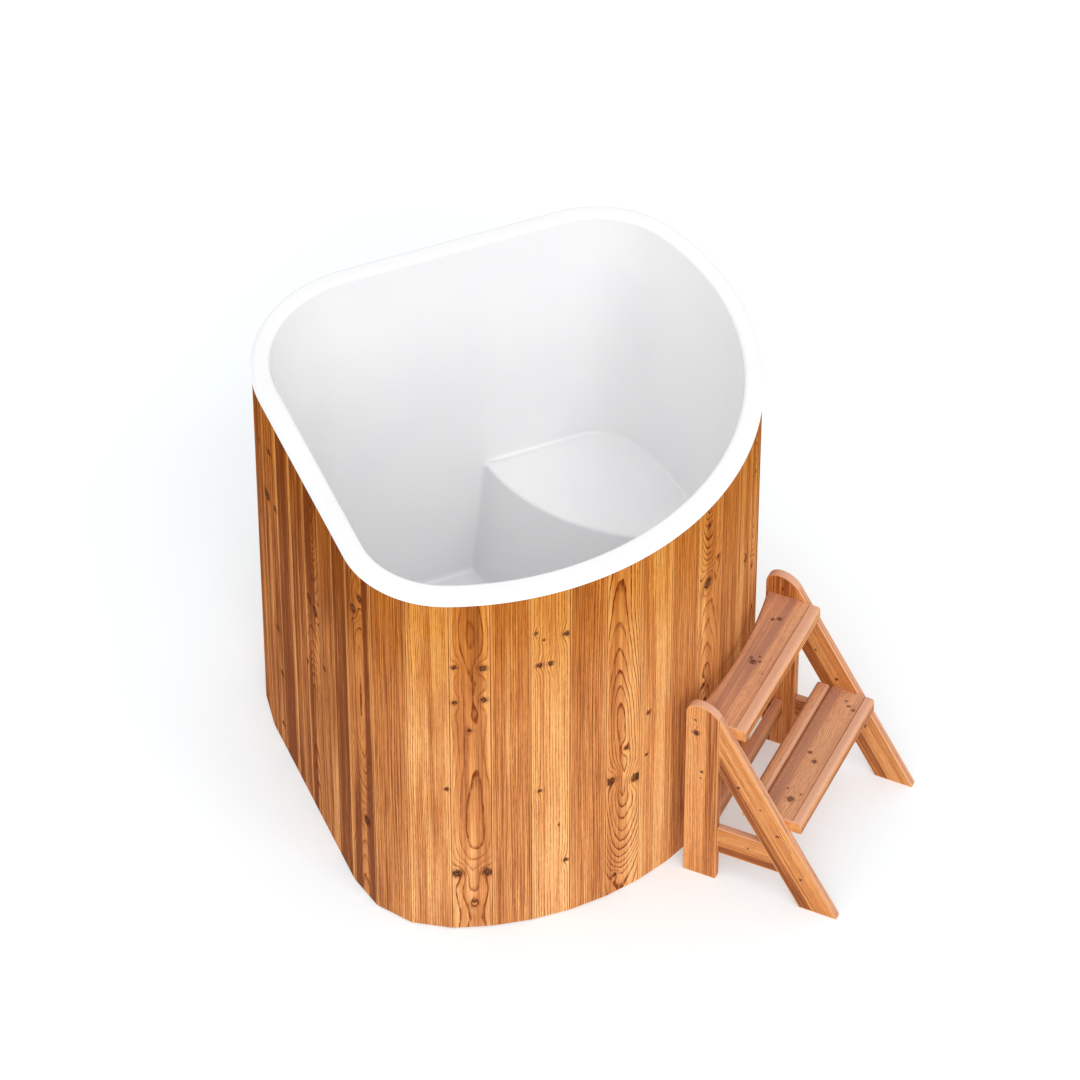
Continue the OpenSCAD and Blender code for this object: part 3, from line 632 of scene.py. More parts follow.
def lathe(profile, place, segments=72):
    """Turns a profile of (radius, height) points about the z axis; the profile is closed on itself.
    A point with a third value lies on a polygon with that many sides."""
    bm = bmesh.new()
    rings = []
    for radius, height, *sides in profile:
        if radius == 0:
            rings.append([bm.verts.new((0, 0, height))] * segments)
            continue
        ring = []
        for i in range(segments):
            angle = 2 * pi * i / segments
            r = radius
            if sides:
                half = pi / sides[0]
                r = radius * cos(half) / cos((angle + half) % (2 * half) - half)
            ring.append(bm.verts.new((r * cos(angle), r * sin(angle), height)))
        rings.append(ring)
    for a, b in zip(rings, rings[1:] + rings[:1]):
        for i in range(segments):
            k = (i + 1) % segments
            corners = list(dict.fromkeys((a[i], a[k], b[k], b[i])))
            if len(corners) > 2:
                bm.faces.new(corners)
    bmesh.ops.recalc_face_normals(bm, faces=bm.faces)
    bmesh.ops.transform(bm, matrix=place, verts=bm.verts)
    mesh = as_mesh(bm)
    smooth(mesh, TURNED_SHARP)
    return mesh


def joined(mesh, other, operation):
    """The mesh with another one added to it or cut out of it."""
    piece = in_scene("joined", mesh)
    tool = in_scene("joining_tool", other)
    boolean = piece.modifiers.new("join", "BOOLEAN")
    boolean.operation = operation
    boolean.solver = "EXACT"
    boolean.object = tool
    out = bpy.data.meshes.new_from_object(piece.evaluated_get(bpy.context.evaluated_depsgraph_get()))
    bpy.data.objects.remove(piece)
    bpy.data.objects.remove(tool)
    bpy.data.meshes.remove(mesh)
    bpy.data.meshes.remove(other)
    smooth(out, TURNED_SHARP)
    return out


# Wood attributes

GRAIN = random.Random(41)


def dress_wood(mesh, places, edges, style):
    """Stores where each vertex lies in its plank, the painted highlight or shade at its edge there, and the
    plank's figure.
    """
    edge_light = mesh.attributes.new("wood_edge_light", "FLOAT", "POINT")
    edge_light.data.foreach_set("value", edges)
    fields = {name: [value] * len(places) for name, value in style.items()}
    for name, values in {"wood_place": places, **fields}.items():
        field = mesh.attributes.new(name, "FLOAT_VECTOR", "POINT")
        field.data.foreach_set("vector", [v for value in values for v in value])


def figure(tone, spacing, bands, knots=(), strength=1.0, kind="straight", heart=(0, 1, 0)):
    """A plank's figure, as its wood attributes. Straight grain is cut far from the pith, arched grain close
    above it. heart is where across the plank its darker heartwood starts, on which side, and how dark."""
    draw = GRAIN.uniform
    if kind == "slanting":
        pith = (GRAIN.choice((-1, 1)) * draw(45, 60), draw(45, 55))
        form = (0.9, 0.34, strength)
    elif kind == "arched":
        pith = (draw(-9, 9), draw(44, 52))
        form = (1.0, 0.26, strength)
    else:
        pith = (GRAIN.choice((-1, 1)) * draw(130, 190), draw(20, 60))
        form = (0.3, 0.40, 0.9 * strength)
    style = {
        "wood_pith": (pith[0] * MM, pith[1] * MM, draw(0, 10)),
        "wood_tone": (tone, spacing * MM, bands),
        "wood_form": form,
        "wood_heart": (heart[0] * MM, heart[1], heart[2]),
    }
    knots = [*knots, *[NO_KNOT] * KNOT_SLOTS]
    for slot in range(KNOT_SLOTS):
        style[f"knot_{slot + 1}"] = tuple(v * MM for v in knots[slot])
    return style


# Cladding boards

EDGE_W = 2.5
BOARD_SHARP = 30
FOOT_CUT = 1.2

# The painted light across a board's eased edge, from painted shade in the joint to a painted highlight on the
# edge
EDGE_LIGHT = [-1.0, -0.6, 0.3, 0.9, 1.0]


def arc_points(centre, radius, start, end, count):
    turns = [radians(start + (end - start) * i / count) for i in range(count)]
    return [Vector((centre[0] + radius * cos(a), centre[1] + radius * sin(a))) for a in turns]


def line_points(start, end, count):
    return [Vector(start).lerp(Vector(end), i / count) for i in range(count)]


def outline(inset, counts):
    """Points round the tub, inset from the cladding's face, as the corner, wall, bend and front are cut."""
    corner, wall, bend, front = counts
    return (
        line_points((CORNER_R, inset), (BEND_X, inset), wall)
        + arc_points((BEND_X, BEND_R), BEND_R - inset, -90, BEND_A, bend)
        + arc_points((FRONT_C, FRONT_C), FRONT_R - inset, BEND_A, 90 - BEND_A, front)
        + arc_points((BEND_R, BEND_X), BEND_R - inset, 90 - BEND_A, 180, bend)
        + line_points((inset, BEND_X), (inset, CORNER_R), wall)
        + arc_points((CORNER_R, CORNER_R), CORNER_R - inset, 180, 270, corner)
    )


SEAMS = outline(0, (CORNER_BOARDS, WALL_BOARDS, BEND_BOARDS, FRONT_BOARDS))
TOTAL_BOARDS = len(SEAMS)


def run_of(i):
    return SEAMS[(i + 1) % TOTAL_BOARDS] - SEAMS[i % TOTAL_BOARDS]


def half_turn(i):
    return acos(min(1, run_of(i - 1).normalized().dot(run_of(i).normalized()))) / 2


def board_section(i):
    """The board's section, with x along its face and y into the tub, and its width."""
    m0 = half_turn(i)
    m1 = half_turn(i + 1)
    width = run_of(i).length
    e0 = Vector((sin(m0), cos(m0)))
    n0 = Vector((cos(m0), -sin(m0)))
    e1 = Vector((-sin(m1), cos(m1)))
    n1 = Vector((cos(m1), sin(m1)))
    start = Vector((BOARD_GAP / 2 / cos(m0), 0))
    end = Vector((width - BOARD_GAP / 2 / cos(m1), 0))
    l0 = BOARD_T / cos(m0)
    l1 = BOARD_T / cos(m1)
    groove = TONGUE_T / 2 + FIT

    def eased(corner, toward, away):
        first = corner + toward * BOARD_BEVEL
        last = corner + away * BOARD_BEVEL
        shares = [k / (len(EDGE_LIGHT) - 1) for k in range(len(EDGE_LIGHT))]
        return [first * (1 - t) ** 2 + corner * 2 * t * (1 - t) + last * t ** 2 for t in shares]

    face = eased(start, e0, Vector((1, 0))) + eased(end, Vector((-1, 0)), e1)
    edge_light = EDGE_LIGHT + EDGE_LIGHT[::-1]
    middle = len(face) // 2
    inward = Vector((BOARD_BEVEL + EDGE_W, 0))
    face[middle:middle] = [start + inward, end - inward]
    edge_light[middle:middle] = [0.0, 0.0]
    tongue_a = end + e1 * (l1 - TONGUE_T) / 2
    tongue_b = end + e1 * (l1 + TONGUE_T) / 2
    tip = n1 * TONGUE_L
    groove_a = start + e0 * (l0 / 2 + groove)
    groove_b = start + e0 * (l0 / 2 - groove)
    pit = n0 * (TONGUE_L + FIT)
    rest = [tongue_a, tongue_a + tip, tongue_b + tip, tongue_b, end + e1 * l1,
            start + e0 * l0, groove_a, groove_a + pit, groove_b + pit, groove_b]
    return face + rest, len(face), width, edge_light + [0.0] * len(rest)


def board_mesh(i, style):
    section, face_count, width, edge_light = board_section(i)
    origin = SEAMS[i]
    run = run_of(i).normalized()
    inward = Vector((-run.y, run.x))
    heights = (BOARD_FOOT, BOARD_FOOT + FOOT_CUT, BOARDS_Z)
    rings = []
    places = []
    for level, z in enumerate(heights):
        ring = []
        for k, p in enumerate(section):
            y = p.y + (FOOT_CUT if level == 0 and k < face_count else 0)
            plan = origin + run * p.x + inward * y
            ring.append(FROM_CORNER @ Vector((plan.x, plan.y, z)))
            places.append(((p.x - width / 2) * MM, y * MM, z * MM))
        rings.append(ring)
    mesh = loft(rings)
    smooth(mesh, BOARD_SHARP)
    dress_wood(mesh, places, edge_light * len(heights), style)
    return mesh


def random_figure():
    """A figure for a board that the photograph hides."""
    draw = GRAIN.uniform
    knots = []
    if GRAIN.random() < 0.55:
        for _ in range(GRAIN.randint(1, 5)):
            knots.append((draw(-36, 36), draw(60, 980), draw(2.5, 7.5)))
    kind = "arched" if GRAIN.random() < 0.4 else "straight"
    return figure(draw(0.2, 0.85), draw(3.2, 6.5), draw(0.3, 0.8), knots, 1.1, kind)


# Figures of the boards that the photograph shows, from the corner's end of the left wall round to the step;
# their knots are (across from the middle, height, radius)
SHOWN = [
    # The left wall's six boards come first, with darker tones: partly their own, partly painted shade on that
    # side of the tub
    (0.66, 5.0, 0.6, ((2.5, 917, 8), (-22.5, 766, 12), (28.5, 766, 7), (13.5, 375, 7), (30.5, 245, 7),
                      (23.5, 72, 6)), 1.2),
    (1.04, 4.6, 0.3, (), 1.2, "straight", (28, 1, -0.5)),
    (0.62, 4.6, 0.5, ((36.5, 457, 5),), 1.2),
    (0.86, 5.0, 0.8, ((-2.5, 766, 5), (-23.5, 678, 10), (12.5, 673, 11)), 1.2, "arched"),
    (0.52, 4.6, 0.5, ((-25.5, 537, 6),), 1.2),
    (1.02, 4.6, 0.3, (), 1.2, "straight", (36, 1, -0.6)),
    (0.82, 6.2, 0.6, ((10.5, 951, 9), (-18.5, 900, 10), (15.5, 257, 10), (34.5, 457, 4)), 1.0, "arched"),
    (0.55, 4.8, 0.25, (), 1.1),
    (0.28, 4.0, 0.5, ((38.5, 459, 4.5),)),
    (0.46, 7.0, 0.5, ((-33.5, 843, 5.5), (28.5, 836, 7), (-33.5, 733, 5), (30.5, 737, 6.5),
                      (-2.5, 643, 4.5), (-31.5, 185, 10), (34.5, 185, 10), (4.5, 90, 4.5)), 1.0, "arched"),
    (0.52, 4.8, 0.2, (), 1.2),
    (0.06, 6.5, 0.3, ((-33.5, 918, 4), (-15.5, 893, 3), (35.5, 895, 6), (-25.5, 817, 6), (0.5, 815, 5.5),
                      (-25.5, 421, 4.5), (35.5, 175, 5), (18.5, 296, 2))),
    (0.50, 4.6, 0.2, (), 1.1),
    (0.34, 5.6, 0.5, ((8.5, 461, 5), (-30.5, 375, 9), (35.5, 350, 10), (-19.5, 62, 4.5)), 1.0, "arched"),
    (0.20, 4.6, 0.5, ((-18.5, 535, 5), (-24.5, 404, 3.5))),
    (0.46, 4.6, 0.25, (), 1.1),
    (0.30, 5.6, 0.5, ((-6.5, 972, 6), (31.5, 848, 4.5), (-8.5, 797, 12), (-16.5, 483, 6)), 1.0, "arched"),
    (0.54, 4.8, 0.25, (), 1.2),
    (0.38, 4.6, 0.5, ((12.5, 694, 8),)),
    (0.44, 5.6, 0.5, ((-13.5, 612, 8), (-3.5, 895, 5)), 1.0, "arched"),
]


def board_names():
    """(piece, replaced node) of each board, in their order round the tub."""
    groups = (
        ("left_wall_board_{}", "left_wall_boards", WALL_BOARDS),
        ("left_bend_plank_{}", "left_bend_board_{:02d}", BEND_BOARDS),
        ("front_plank_{:02d}", "front_board_{:02d}", FRONT_BOARDS),
        ("right_bend_board_{}", "right_bend_boards", BEND_BOARDS),
        ("right_wall_board_{}", "right_wall_boards", WALL_BOARDS),
        ("corner_board_{}", "corner_boards", CORNER_BOARDS),
    )
    return [(piece.format(i + 1), node.format(i + 1)) for piece, node, count in groups for i in range(count)]


def make_boards():
    for i, (name, node) in enumerate(board_names()):
        style = figure(*SHOWN[i]) if i < len(SHOWN) else random_figure()
        # The corner board beside the left wall is darker too, partly painted shade
        if i == TOTAL_BOARDS - 1:
            style = figure(0.72, 4.5, 0.5, [(10, 880, 5), (-8, 640, 4)], 1.2)
        add_piece(name, board_mesh(i, style), CLADDING, "tub", node)


# Basin

# The share of the way of a line that never meets the seat's front
FAR = 9


def wall_in(z):
    return RIM_W + (TUB_H - z) * DRAFT


def seat_share(p, r):
    """How far along the way from the well's centre to p the seat's front of radius r lies."""
    d = p - WELL_C
    m = WELL_C - SEAT_C
    a = d.dot(d)
    b = 2 * d.dot(m)
    q = b * b - 4 * a * (m.dot(m) - r * r)
    if q <= 0 or b >= 0:
        return FAR
    return min(FAR, (-b - sqrt(q)) / (2 * a))


def share(p, r):
    other = seat_share(p, r)
    return -SEAT_SOFT * log(exp(-1 / SEAT_SOFT) + exp(-other / SEAT_SOFT))


def seated(p):
    return max(0, min(1, (1 - share(p, SEAT_R)) / SEAT_BLEND))


# Points on the corner, wall, bend and front stretch of a ring of the basin, and which ones of the wall's
# and the front's lie where the seat's front runs out
RING_COUNTS = (28, 36, 28, 140)
WALL_END_AT = 20
FRONT_END_AT = 106
END_CROWDING = 1.5
SEAT_STEPS = 12


def wall_end(inset, r):
    return SEAT_C.y - sqrt(r * r - (inset - SEAT_C.x) ** 2)


def front_end(inset, r):
    out = FRONT_R - inset
    m = SEAT_C - Vector((FRONT_C, FRONT_C))
    turn = acos((out * out + m.length_squared - r * r) / (2 * out * m.length))
    return degrees(atan2(m.y, m.x) - turn)


def stations(a, b, c, k, n):
    """n numbers from a towards c, which crowd round number k, b."""
    before = [b + (a - b) * ((k - i) / k) ** END_CROWDING for i in range(k)]
    after = [b + (c - b) * (i / (n - k)) ** END_CROWDING for i in range(n - k)]
    return before + after


def ring_line(inset, r):
    """The outline of a ring of the basin, with a point at each end of a seat's front of radius r."""
    corner, wall, bend, front = RING_COUNTS
    line = outline(inset, RING_COUNTS)
    reach = FRONT_R - inset
    for i, turn in enumerate(stations(BEND_A, front_end(inset, r), 90 - BEND_A, FRONT_END_AT, front)):
        a = radians(turn)
        line[wall + bend + i] = Vector((FRONT_C + reach * cos(a), FRONT_C + reach * sin(a)))
    for i, way in enumerate(stations(BEND_X, wall_end(inset, r), CORNER_R, WALL_END_AT, wall)):
        line[wall + 2 * bend + front + i] = Vector((inset, way))
    return line


def to_ring(points, z):
    return [FROM_CORNER @ Vector((p.x, p.y, z)) for p in points]


def well_ring(inset, r, z, back=0.0):
    out = []
    for p in ring_line(inset, r):
        q = WELL_C + (p - WELL_C) * share(p, r)
        out.append(q + (p - q) * back)
    return to_ring(out, z)


def wall_ring(push, z, t):
    line = ring_line(wall_in(z) - t, SEAT_R)
    inner = ring_line(wall_in(z) - t + 1, SEAT_R)
    return to_ring([p + (q - p) * (push + t) * seated(p) for p, q in zip(line, inner)], z)


def shell_rings(t):
    """The basin's rings from the waste up to the seat's back, t outward from its inner face."""
    fillet = FLOOR_R + t
    base = FLOOR_Z + FLOOR_R
    wall = wall_in(base) + FLOOR_R
    well = SEAT_R + (SEAT_Z - base) * SEAT_DRAFT + FLOOR_R
    edge = SEAT_EDGE_R - t
    back = SEAT_BACK_R + t
    back_z = SEAT_Z + SEAT_RISE + SEAT_BACK_R
    rings = []
    for a in angles(0, 90, 7.5):
        run = fillet * sin(a)
        rings.append(well_ring(wall - run, well - run, base - fillet * cos(a)))
    for a in angles(0, 90, 9):
        z = SEAT_Z - SEAT_EDGE_R + edge * sin(a)
        rings.append(well_ring(wall_in(z) - t, SEAT_R - SEAT_EDGE_R + edge * cos(a), z))
    for i in range(1, SEAT_STEPS):
        z = SEAT_Z - t + SEAT_RISE * i / SEAT_STEPS
        rings.append(well_ring(wall_in(z) - t, SEAT_R - SEAT_EDGE_R, z, i / SEAT_STEPS))
    for a in angles(0, 90, 9):
        rings.append(wall_ring(SEAT_BACK_R - back * sin(a), back_z - back * cos(a), t))
    return rings


def rim_rings():
    """From the top of the wall's inner face over the rim to the basin's outer face."""
    r = RIM_INNER_R
    line = [(RIM_W - r * (1 - cos(a)), TUB_H - r * (1 - sin(a))) for a in angles(0, 90, 10)]
    r = RIM_OUTER_R
    line += [(r - RIM_LIP - r * cos(a), TUB_H - r * (1 - sin(a))) for a in angles(90, 0, 9)]
    under = BOARDS_Z + FIT
    line += [(-RIM_LIP, under + 1.0), (-RIM_LIP + 1.0, under), (wall_in(BOARDS_Z) - BASIN_T, under)]
    return [to_ring(ring_line(inset, SEAT_R), z) for inset, z in line]


def waste_ring(ring, z):
    """A circle round the waste, with a point toward each point of the ring."""
    centre = FROM_CORNER @ Vector((WASTE.x, WASTE.y, z))
    out = []
    for p in ring:
        way = p - centre
        way.z = 0
        out.append(centre + way.normalized() * WASTE_HOLE_R * MM)
    return out


def make_basin():
    inner = shell_rings(0)
    outer = shell_rings(BASIN_T)
    rings = [waste_ring(inner[0], FLOOR_Z)] + inner + rim_rings() + outer[::-1]
    rings += [waste_ring(outer[0], FLOOR_Z - BASIN_T), rings[0]]
    mesh = loft(rings, caps=False)
    face_out(mesh, weld=1e-6)
    smooth(mesh, 40)
    add_piece("basin_shell", mesh, GEL_COAT, "tub", "basin")


# Step

WIDE_FACE = 1500
EASE = 2.2
TOP_STRIP = 25
LOW_STRIP = 22
STRIP_LINE = 2.0
STOPS = 40

# Along a cross plank, how far the eased end is cut back at each distance from it
EASED_END = [(0, 1.6), (0.6, 0.7), (1.6, 0), (4.0, 0)]

# Painted highlight on eased ends, on a tread's nose and on the strip behind it, and the dark line behind that
# strip
EDGE_HIGHLIGHT = 0.8
STRIP_DARK_LINE = -0.7


def plank(name, profile, thickness, style, grain, y, node):
    """A plank cut to a profile drawn in x and z, thick in y, with eased edges.
    grain is the angle of its length in the profile's plane, in degrees from x."""
    bm = prism([(x, 0, z) for x, z in profile], [(x, thickness, z) for x, z in profile])
    ease(bm, 28, EASE)
    wide = [f for f in bm.faces if f.calc_area() > WIDE_FACE]
    bmesh.ops.inset_individual(bm, faces=wide, thickness=EDGE_W, use_even_offset=True)
    inner = {v for f in wide for v in f.verts}
    # The eased edges get a painted highlight
    edges = [0.0 if v in inner else 1.0 for v in bm.verts]
    mesh = as_mesh(bm)
    turn = radians(grain)
    length = Vector((cos(turn), 0, sin(turn)))
    across = Vector((-sin(turn), 0, cos(turn)))
    count = len(profile)
    middle = Vector((sum(p[0] for p in profile) / count, 0, sum(p[1] for p in profile) / count))
    offsets = [vert.co - middle for vert in mesh.vertices]
    places = [(p.dot(across) * MM, p.y * MM, p.dot(length) * MM) for p in offsets]
    mesh.transform(STEP_PLACE @ Matrix.Translation((0, y, 0)))
    smooth(mesh, BOARD_SHARP)
    dress_wood(mesh, places, edges, style)
    add_piece(name, mesh, STEP_WOOD, "step", node)


HEEL_X = TOE_X - POST_W / sin(LEG_A)
JOINT_TOP = (TOE_X - POST_W) * tan(LEG_A)
JOINT_LOW = (HEEL_X - POST_W) * tan(LEG_A)
CREST_R = (POST_W - CREST_X) / sin(LEG_A)
CREST_Z = JOINT_TOP - CREST_R * cos(LEG_A)
SIDE_RAIL_TOP = SIDE_RAIL_Z + POST_W
INNER_Y = STEP_W / 2 - FRAME_T
TREAD_W = 2 * (INNER_Y - GLUE)


def leg_back(z):
    return HEEL_X - z / tan(LEG_A)


def post_profile():
    points = [(0, 0), (POST_W, 0), (POST_W, JOINT_TOP)]
    points += arc(CREST_X, CREST_Z, CREST_R, 30, 90, 6)[1:]
    points += arc(CREST_X, CREST_Z + CREST_R - CREST_X, CREST_X, 90, 180, 9)[1:]
    return points


def bar_profile(x0, x1, top, strip=None):
    """A tread's section, from its back to its nose, with points where a strip of painted highlight behind the
    nose ends.
    """
    points = [(x0, top - TREAD_T), (x1, top - TREAD_T)]
    points += arc(x1 - NOSE_R, top - NOSE_R, NOSE_R, 0, 90, 9)
    if strip is not None:
        points += [(x1 - strip + STRIP_LINE * k, top) for k in (1, 0, -1)]
    return points + arc(x0 + NOSE_R, top - NOSE_R, NOSE_R, 90, 180, 9)


def make_side(side, y, styles):
    joint = POST_W + GLUE
    leg = [(joint, JOINT_LOW), (HEEL_X, 0), (TOE_X, 0), (joint, JOINT_TOP)]
    rail = [(joint, SIDE_RAIL_Z), (leg_back(SIDE_RAIL_Z) - GLUE, SIDE_RAIL_Z),
            (leg_back(SIDE_RAIL_TOP) - GLUE, SIDE_RAIL_TOP), (joint, SIDE_RAIL_TOP)]
    rail_y = y + SIDE_RAIL_IN if side == "left" else y
    planks = (
        ("post", post_profile(), FRAME_T, 90, y),
        ("leg", leg, FRAME_T, 120, y),
        ("side_rail", rail, FRAME_T - SIDE_RAIL_IN, 0, rail_y),
    )
    for (kind, profile, thickness, grain, at), style in zip(planks, styles):
        plank(f"{kind}_plank_{side}", profile, thickness, style, grain, at, f"step_{kind}_{side}")


def bar_edge_light(behind, below, from_end, strip):
    """The painted highlight or dark line at a point of a cross plank, by its distances from the nose, the top
    and the plank's end.
    """
    if from_end < EASE or max(behind, below) < NOSE_R * 0.8:
        return EDGE_HIGHLIGHT
    if strip is not None and below < NOSE_R * 0.3 and behind < strip + STRIP_LINE / 2:
        return EDGE_HIGHLIGHT if behind < strip - STRIP_LINE / 2 else STRIP_DARK_LINE
    return 0.0


def cross_plank(name, profile, style, node, back=None, strip=None):
    """A plank across the step: its profile in x and z runs the step's width, with eased ends.
    back gives where its back edge lies at each y."""
    end = EASED_END[-1][0]
    stops = [(end + (TREAD_W - 2 * end) * i / STOPS, 0) for i in range(1, STOPS)]
    stops = EASED_END + stops + [(TREAD_W - y, cut) for y, cut in reversed(EASED_END)]
    xs, zs = zip(*profile)
    x0, x1 = min(xs), max(xs)
    z0, z1 = min(zs), max(zs)
    rings = []
    places = []
    edges = []
    for y, cut in stops:
        ring = []
        across = y - TREAD_W / 2
        start = x0 if back is None else back(across)
        for x, z in reversed(profile):
            nx = start + (x - x0) if x < (x0 + x1) / 2 else x
            nx = min(max(nx, start + cut), x1 - cut)
            nz = min(max(z, z0 + cut), z1 - cut)
            ring.append(STEP_PLACE @ Vector((nx, across, nz)))
            places.append(((nx - (x0 + x1) / 2) * MM, (z1 - nz) * MM, y * MM))
            edges.append(bar_edge_light(x1 - nx, z1 - nz, min(y, TREAD_W - y), strip))
        rings.append(ring)
    mesh = loft(rings)
    face_out(mesh)
    smooth(mesh, BOARD_SHARP)
    dress_wood(mesh, places, edges, style)
    add_piece(name, mesh, STEP_WOOD, "step", node)


def hollow(y):
    return HOLLOW_X - HOLLOW_R + sqrt(HOLLOW_R ** 2 - y * y)


def make_step():
    near = (
        figure(0.20, 3.6, 0.4, [(4, 190, 2), (8, 120, 2.5), (-10, 70, 2), (12, 10, 2.5), (10, -30, 6),
                                (-6, -150, 2.5), (-4, -170, 2)], 0.9, "straight", (-16, -1, 0.35)),
        figure(0.40, 3.8, 0.3, [(12, 130, 3), (-14, -20, 3), (-8, -150, 3), (-10, 60, 2)],
               1.1, "straight", (12, 1, 0.60)),
        figure(0.50, 3.6, 0.4, [(6, 10, 2)], 1.1, "straight", (-20, -1, 0.5)),
    )
    far = (
        figure(0.55, 3.8, 0.5, [(6, 120, 3), (10, -60, 2.5), (-8, 20, 2)], 1.1, "straight", (14, 1, 0.3)),
        figure(0.26, 3.8, 0.4, [(-6, 60, 3), (-10, -80, 3.5), (4, 150, 2), (-10, -10, 2)],
               1.1, "straight", (8, 1, 0.7)),
        figure(0.62, 3.6, 0.5, (), 1.1),
    )
    make_side("left", -STEP_W / 2, near)
    make_side("right", INNER_Y, far)
    knots = [(-4, 205, 5.5), (10, 212, 2.5), (-12, 216, 2.5), (4, 226, 2), (-16, 345, 3), (-2, 352, 4),
             (30, 180, 1.5)]
    cross_plank("top_tread_plank", bar_profile(0, TOP_NOSE_X, TOP_TREAD_Z, TOP_STRIP),
                figure(0.36, 4.2, 1.1, knots, 1.3, "straight", (14, 1, -0.3)), "top_tread", hollow, TOP_STRIP)
    knots = [(5, 190, 4), (-14, 212, 3.5), (2, 62, 6), (18, 84, 2), (-16, 90, 2), (10, 380, 3), (24, 372, 3),
             (-2, 392, 2)]
    back = LOW_NOSE_X - LOW_TREAD_D
    cross_plank("lower_tread_plank", bar_profile(back, LOW_NOSE_X, LOW_TREAD_Z, LOW_STRIP),
                figure(0.32, 3.4, 0.8, knots, 1.1, "slanting", (-14, -1, 0.25)),
                "lower_tread", None, LOW_STRIP)
    cross_plank("tread_batten_plank", bar_profile(back - GLUE - TREAD_BATTEN_D, back - GLUE, LOW_TREAD_Z),
                figure(0.05, 4.2, 0.6, (), 1.1), "tread_batten")
    x, z = REAR_RAIL_X, REAR_RAIL_Z
    rail = [(x, z), (x + FRAME_T, z), (x + FRAME_T, z + REAR_RAIL_H), (x, z + REAR_RAIL_H)]
    cross_plank("rear_rail_plank", rail, figure(0.60, 5.0, 0.6, (), 1.2), "step_rear_rail")


# Waste and drain valve

AT_WASTE = FROM_CORNER @ Matrix.Translation((WASTE.x, WASTE.y, 0))
AT_VALVE = FROM_CORNER @ Matrix.Translation((VALVE_MID, WASTE.y, 0))
SHOWN_ROUND = 96
LOOSE = 0.1
LEVER_TOP = LEVER_Z + LEVER_T


def along_pipe(x):
    """Turns a lathe's axis out of z and along the drain pipe, from x on."""
    return FROM_CORNER @ Matrix.Translation((x, WASTE.y, PIPE_Z)) @ Matrix.Rotation(radians(90), 4, "Y")


def make_waste():
    top = FLOOR_Z + FLANGE_T
    out = WASTE_FLANGE_R
    bore = WASTE_BORE_R
    ring = [
        (WASTE_TAIL_R, WASTE_TAIL_Z), (WASTE_TAIL_R, FLOOR_Z), (out - 0.4, FLOOR_Z), (out, FLOOR_Z + 0.5),
        (out - 0.5, FLOOR_Z + 1.5), (out - 2.2, top - 0.5), (out - 5, top),
        (bore + 5, top), (bore + 3.6, top - 0.5), (bore + 1.2, top - 1.4), (bore, top - 3.4),
        (bore, WASTE_TAIL_Z),
    ]
    add_piece("waste_ring", lathe(ring, AT_WASTE, SHOWN_ROUND), STEEL, "tub", "waste_flange")
    under = FLOOR_Z - PLUG_WALL
    cap = top + 0.3
    cap_top = cap + PLUG_WALL
    knob_z = top + KNOB_H
    knob_r = 2 * PLUG_WALL
    plug = [
        (0, under), (bore - 1.5, under), (bore - 0.3, under + 1.2), (bore - 0.3, cap),
        (bore + 3.4, cap), (bore + 4, cap + 0.6), (bore + 3.7, cap + 1.8), (bore + 2.2, cap + 3.0),
        (bore - 2, cap_top - 0.2), (bore - 6, cap_top), (9, cap_top), (6, cap_top + 1.2),
        (4.4, cap_top + 3.4), (PLUG_WALL, cap_top + 6.5), (PLUG_WALL, knob_z - 7.2),
        *arc(0, knob_z, knob_r, -58, 82, 10), (0, knob_z + knob_r),
    ]
    add_piece("lift_plug", lathe(plug, AT_WASTE, SHOWN_ROUND), STEEL, "plug", "drain_plug")


def stem_hole(low, high):
    r = STEM_R + LOOSE
    return lathe([(0, low), (r, low), (r, high), (0, high)], AT_VALVE, 48)


def make_body():
    r = VALVE_R
    low = VALVE_MID - BALL_R + 1 - VALVE_X
    high = VALVE_MID + BALL_R - 1 - VALVE_X
    end = [(r - 1.6, 0, 6), (r, 1.4, 6), (r, 12.4, 6), (r - 1.6, 13.8, 6),
           (19.2, 14.4), (19.2, 17.0), (22.0, 19.0), (24.6, 23.0)]
    body = lathe([
        (SPIGOT_R + LOOSE, 0), *end, (25.4, VALVE_L / 2),
        *[(x, VALVE_L - z, *sides) for x, z, *sides in reversed(end)],
        (PIPE_R + LOOSE, VALVE_L), (PIPE_R + LOOSE, high), (BALL_R + 0.3, high), (BALL_R + 0.3, low),
        (SPIGOT_R + LOOSE, low),
    ], along_pipe(VALVE_X))
    base = PIPE_Z + 21
    top = BONNET_TOP
    bonnet = lathe([
        (0, base), (9.0, base), (9.0, top - 8.5), (9.4, top - 8.2, 6), (10.0, top - 7.6, 6),
        (10.0, top - 1.4, 6), (9.4, top - 0.8, 6), (7.6, top), (0, top),
    ], AT_VALVE)
    body = joined(joined(body, bonnet, "UNION"), stem_hole(PIPE_Z + 4, top + 4), "DIFFERENCE")
    add_piece("ball_valve_body", body, NICKEL, "tub", "valve_body")


def make_tail():
    r = TAIL_R
    barbs = []
    for k in range(4):
        start = 0.6 + k * 5.4
        barbs += [(r - 1.3, start), (r - 0.1, start + 4.2), (r, start + 4.6), (r - 0.8, start + 5.0)]
    end = VALVE_MID - (BALL_R - 1) - 0.3 - (VALVE_X - TAIL_L)
    tail = lathe([
        (TAIL_BORE_R + 0.4, 0), *barbs, (r - 1.2, 24), (r - 1.2, 28), (r, 28.4), (r, TAIL_L),
        (SPIGOT_R, TAIL_L), (SPIGOT_R, end), (TAIL_BORE_R, end), (TAIL_BORE_R, 0.4),
    ], along_pipe(VALVE_X - TAIL_L))
    add_piece("barbed_tail", tail, NICKEL, "tub", "hose_tail")


